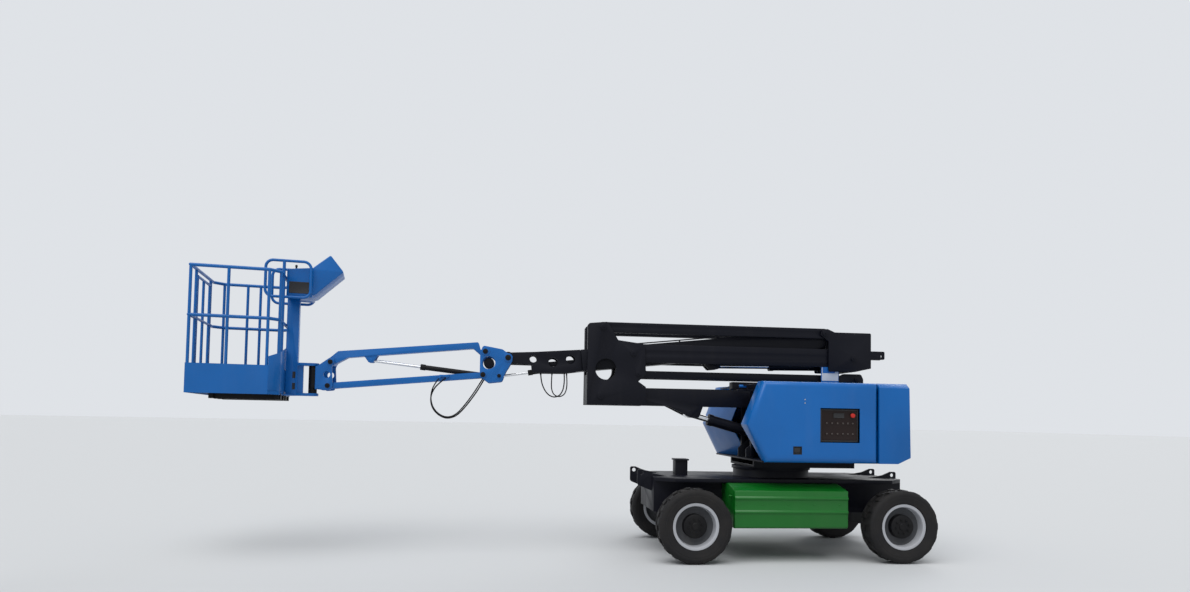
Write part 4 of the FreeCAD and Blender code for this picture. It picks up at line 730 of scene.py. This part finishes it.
def panel():
    face_y = COVER_HALF_W - 28
    plate = box((PANEL_X[0] + 24, PANEL_X[1] - 24), (face_y, face_y + 3), (PANEL_Z[0] + 24, PANEL_Z[1] - 24))
    inset(plate, lambda c, n: n.y > 0.9, 9, 1)
    ease(plate, 0.8)
    dress(plate, "panel_face", "turntable", PANEL)
    front = face_y + 3
    switch = cylinder((0, front + 3, 0), 9, 6, "Y", 24)
    ease(switch, 1.2)
    lever = cylinder((0, front + 10, 0), 3, 14, "Y", 16)
    ease(lever, 1.2)
    pattern = join([switch, lever])
    places = [(x, z) for z in (PANEL_Z[0] + 86, PANEL_Z[0] + 190) for x in SWITCH_XS]
    switches = copies(pattern, [Matrix.Translation((x / 1000, 0, z / 1000)) for x, z in places])
    dress(switches, "panel_switches", "turntable", SWITCH)
    mushroom = cylinder((PANEL_X[0] + 70, COVER_HALF_W - 8, PANEL_Z[1] - 70), 22, 23, "Y", 32)
    ease(mushroom, 5, 3)
    dress(mushroom, "stop_button", "turntable", RED)
    screen = box((-440, -330), (front - 1, front + 5), (PANEL_Z[1] - 96, PANEL_Z[1] - 48))
    inset(screen, lambda c, n: n.y > 0.9, 5, 2)
    ease(screen, 1)
    dress(screen, "panel_display", "turntable", CONSOLE)


panel()


# Sign plate on the rail

def sign():
    """A folded sheet on the left hinge rail with a blank two-tone plate on its outer side."""
    low, high = SIGN_X
    foot = box((low + 20, high - 20), (160, 190), (RAIL_TOP, RAIL_TOP + 12))
    sheet = box(SIGN_X, SIGN_Y, SIGN_Z)
    fold = box((low, low + 6), (SIGN_Y[0] - 14, SIGN_Y[1]), SIGN_Z)
    for part, width in ((foot, 2), (sheet, 1.5), (fold, 1.5)):
        ease(part, width)
    holder = dress(join([foot, sheet, fold]), "sign_sheet", "turntable", BLUE)
    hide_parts("sign_holder")
    plate = box((low + 8, high - 8), (SIGN_Y[1], SIGN_Y[1] + 2), (1826, 2030))
    ease(plate, 1)
    dress(plate, "sign_plate", "turntable", WHITE)
    patch = box((low + 46, high - 14), (SIGN_Y[1] + 2, SIGN_Y[1] + 3.5), (1908, 2022))
    ease(patch, 0.6, 1)
    dress(patch, "sign_patch", "turntable", BLUE)


sign()


# Smaller fittings, from the boom's head and the platform to the slewing seat

def tilted(obj, degrees, pivot):
    """Turns the mesh about the Y axis through a point."""
    obj.data.transform(turn_about(at(*pivot), math.radians(degrees), "Y"))
    return obj


def head_tray():
    """A folded tray inside the head, behind the lightening holes; that it holds hoses is a guess."""
    corner = (HEAD_CORNER[0], 0, HEAD_CORNER[1])
    tray = box((corner[0] + 30, corner[0] + 360), (46, 58), (corner[2] + 74, corner[2] + 128))
    ease(tray, 3)
    lip = box((corner[0] + 30, corner[0] + 360), (34, 46), (corner[2] + 74, corner[2] + 79))
    ease(lip, 1.5)
    dress(tilted(join([tray, lip]), BOOM_TILT, corner), "head_hose_tray", "fly", NAVY)


head_tray()


def on_platform(obj):
    """Turns what was made straight ahead of the rotator to the platform's place."""
    obj.data.transform(turn_about(at(ROTATOR_X, 0, 0), PLATFORM_YAW, "Z"))
    return obj


def lower_end(obj, wanted, drop):
    """Lowers the top corners for which wanted(place) is true."""
    only(obj)
    bpy.ops.object.mode_set(mode="EDIT")
    bpy.ops.mesh.select_mode(type="VERT")
    bpy.ops.mesh.select_all(action="DESELECT")
    bpy.ops.object.mode_set(mode="OBJECT")
    for corner in obj.data.vertices:
        corner.select = wanted(corner.co)
    bpy.ops.object.mode_set(mode="EDIT")
    bpy.ops.transform.translate(value=(0, 0, -drop / 1000))
    bpy.ops.mesh.select_mode(type="FACE")
    bpy.ops.object.mode_set(mode="OBJECT")


def rear_panels():
    """The raised sheet behind the platform, sloping down from the post and round both corners."""
    outer_v = BASKET_HALF_W - BASKET_BEVEL
    run = BASKET_BEVEL * math.sqrt(2)
    toe_z = at(0, 0, TOE_TOP).z
    x_range = (BASKET_REAR - 5, BASKET_REAR)
    panels = []
    for s in (1, -1):
        rear = box(x_range, side(s, COLUMN_HALF_W + 2, outer_v), (PLATFORM_Z + 40, TOE_TOP + 205))
        outer_y = (outer_v - 10) / 1000
        lower_end(rear, lambda p: p.z > toe_z and s * p.y > outer_y, 75)
        turn = box(x_range, side(s, outer_v, outer_v + run), (PLATFORM_Z + 40, TOE_TOP + 130))
        far_y = (outer_v + run - 10) / 1000
        lower_end(turn, lambda p: p.z > toe_z and s * p.y > far_y, 45)
        turn.data.transform(turn_about(at(BASKET_REAR, s * outer_v, 0), -s * math.pi / 4, "Z"))
        for sheet in (rear, turn):
            ease(sheet, 1.5)
        panels += [rear, turn]
    dress(on_platform(join(panels)), "rear_panels", "platform", BLUE)


rear_panels()


def console_fittings():
    """Dark side openings, two levers in boots and a stop button on the upper control box."""
    frames = []
    for s in (1, -1):
        frame_piece = box((ROTATOR_X + 44, ROTATOR_X + 236), side(s, CONSOLE_HALF_W - 1, CONSOLE_HALF_W + 2),
                          (CONSOLE_BOTTOM + 34, CONSOLE_BOTTOM + 150))
        inset(frame_piece, lambda c, n: s * n.y > 0.9, 7, 1)
        ease(frame_piece, 0.8)
        frames.append(frame_piece)
    dress(on_platform(join(frames)), "console_side_openings", "platform", CONSOLE)
    levers = []
    for v in (-95, 95):
        boot = cylinder((LEVER_X, v, CONSOLE_TOP), 30, 14, "Z", 32)
        ease(boot, 5, 3)
        stem = cylinder((LEVER_X, v, CONSOLE_TOP + 20), 9, 40, "Z", 20)
        knob = cylinder((LEVER_X, v, CONSOLE_TOP + 42), 12, 26, "Z", 32)
        ease(knob, 7, 4)
        levers += [boot, stem, knob]
    dress(on_platform(join(levers)), "console_levers", "platform", CONSOLE)
    button = cylinder((LEVER_X, 0, CONSOLE_TOP + 9), 22, 26, "Z", 32)
    ease(button, 6, 3)
    dress(on_platform(button), "console_stop_button", "platform", RED)


console_fittings()


def box_fittings():
    """A tap on the front end and a row of bolts along each green side box."""
    parts = []
    for s in (1, -1):
        tap = cylinder((SIDE_BOX_FRONT + 14, s * 742, SIDE_BOX_TOP - 118), 11, 30, "X", 24)
        ease(tap, 2)
        handle = box((SIDE_BOX_FRONT + 20, SIDE_BOX_FRONT + 27), side(s, 724, 776),
                     (SIDE_BOX_TOP - 122, SIDE_BOX_TOP - 110))
        ease(handle, 2)
        parts += [tap, handle]
    dress(join(parts), "side_box_taps", "chassis", GREEN)
    bolt = cylinder((0, 0, SIDE_BOX_TOP - 190), 6, 5, "Y", 6)
    ease(bolt, 0.8, 1)
    bolts = copies(bolt, [Matrix.Translation((x / 1000, s * (SIDE_BOX_Y + 1.5) / 1000, 0))
                          for x in SIDE_BOX_BOLT_XS for s in (1, -1)])
    dress(bolts, "side_box_bolts", "chassis", GREEN)


box_fittings()


def column_slots():
    """Two dark slot rims low on each side of the platform's post."""
    rims = []
    for s in (1, -1):
        for z in (PLATFORM_Z + 100, PLATFORM_Z + 215):
            rim = box((ROTATOR_X + 164, ROTATOR_X + 192), side(s, COLUMN_HALF_W - 1, COLUMN_HALF_W + 2),
                      (z - 33, z + 33))
            inset(rim, lambda c, n: s * n.y > 0.9, 4, 1)
            ease(rim, 0.8)
            rims.append(rim)
    dress(on_platform(join(rims)), "column_slots", "platform", CONSOLE)


column_slots()


def arm_channel():
    """The dark form along the riser's lower arm, made as a closed channel for hoses, which is a guess."""
    channel = box(*ARM_CHANNEL)
    ease(channel, 4)
    dress(channel, "arm_hose_channel", "lower_arm", NAVY)


arm_channel()


def bracket_spacer():
    """The dark tube between the bracket's plates, seen through their round holes."""
    tube = cylinder((BRACKET_HOLE[0], 0, BRACKET_HOLE[1]), 54, 180, "Y", 48)
    ease(tube, 2)
    dress(tube, "bracket_spacer", "bracket", NAVY)


bracket_spacer()


def slew_bolts():
    """The ring of bolts round the slewing bearing."""
    bolt = cylinder((SLEW_BOLT_RING, 0, SLEW_BOLT_Z), 9, 10, "Z", 6)
    ease(bolt, 1, 1)
    turns = [turn_about(at(0, 0, 0), i * math.tau / SLEW_BOLTS, "Z") for i in range(SLEW_BOLTS)]
    dress(copies(bolt, turns), "slew_bolts", "chassis", STEEL)


slew_bolts()


# Pins and bolts

def cap_and_bolt(radius):
    """A round keeper with a bolt head in its middle, at the slewing axis, its outer side towards +Y."""
    keeper = cylinder((0, 3, 0), radius, 6, "Y", 32)
    ease(keeper, 1.6)
    head = cylinder((0, 10, 0), 9, 8, "Y", 6)
    ease(head, 1.0, 1)
    return join([keeper, head])


def caps(name, body, y, finish, slot, rows):
    """Keepers on both ends of pins."""
    groups = []
    for pin, radius in rows:
        place = Matrix.Translation((pin[0] / 1000, y / 1000, pin[1] / 1000))
        groups.append(copies(cap_and_bolt(radius), [place, OTHER_SIDE @ place]))
    dress(join(groups), name, body, finish)


# Piece, body, Y of the keepers' seats, finish, slot, and a (pin, keeper radius) pair for each pin.
KEEPERS = [
    ("knuckle_pin_keepers", "knuckle", 211, NAVY, "navy_paint",
     [(KNUCKLE_ARM_PIN, 36), (KNUCKLE_LINK_PIN, 26), (UPPER_ARM_PIN, 31), (UPPER_LINK_PIN, 31)]),
    ("upright_pin_keepers", "upright", 211, NAVY, "navy_paint",
     [(UPRIGHT_ARM_PIN, 31), (UPRIGHT_LINK_PIN, 31)]),
    ("bracket_pin_keepers", "bracket", 134, BLACK, "black_paint",
     [(TIP_PIVOT, 30), (JIB_ARM_PIN, 27), (JIB_LINK_PIN, 27), (LEVEL_EYE, 20)]),
    ("jib_head_pin_keepers", "jib_head", 107, BLACK, "black_paint",
     [(HEAD_ARM_PIN, 25), (HEAD_LINK_PIN, 25)]),
    ("turntable_pin_keepers", "turntable", 164, NAVY, "navy_paint",
     [(LOWER_ARM_PIN, 34), (LOWER_LINK_PIN, 25)]),
]

for row in KEEPERS:
    caps(*row)


# Nodes that get eased edges, each with the width of the easing

EASED = [
    ("chassis_frame", 4), ("side_boxes", 5), ("turntable_frame", 3), ("counterweight", 16),
    ("ground_control", 2), ("lower_arm", 4), ("lower_link", 3), ("knuckle", 2), ("upper_arm", 3),
    ("upper_link", 3), ("rear_upright", 2), ("boom_outer", 3), ("fly_boom", 2), ("jib_bracket", 2.5),
    ("jib_arm", 5), ("jib_link", 3), ("jib_head", 2.5), ("platform_support", 3), ("control_console", 7),
    ("battery_pack", 10), ("drive_pack", 12),
]

for node, width in EASED:
    eased(node, width)


# Floor

def pale_floor():
    deselect()
    bpy.ops.mesh.primitive_plane_add(size=240, location=(0, -60, 0))
    floor = bpy.context.object
    floor.name = "floor"
    material, tree, shader = new_material("pale_floor")
    shader.inputs["Base Color"].default_value = (0.57, 0.58, 0.59, 1)
    shader.inputs["Roughness"].default_value = 0.9
    floor.data.materials.append(material)


pale_floor()
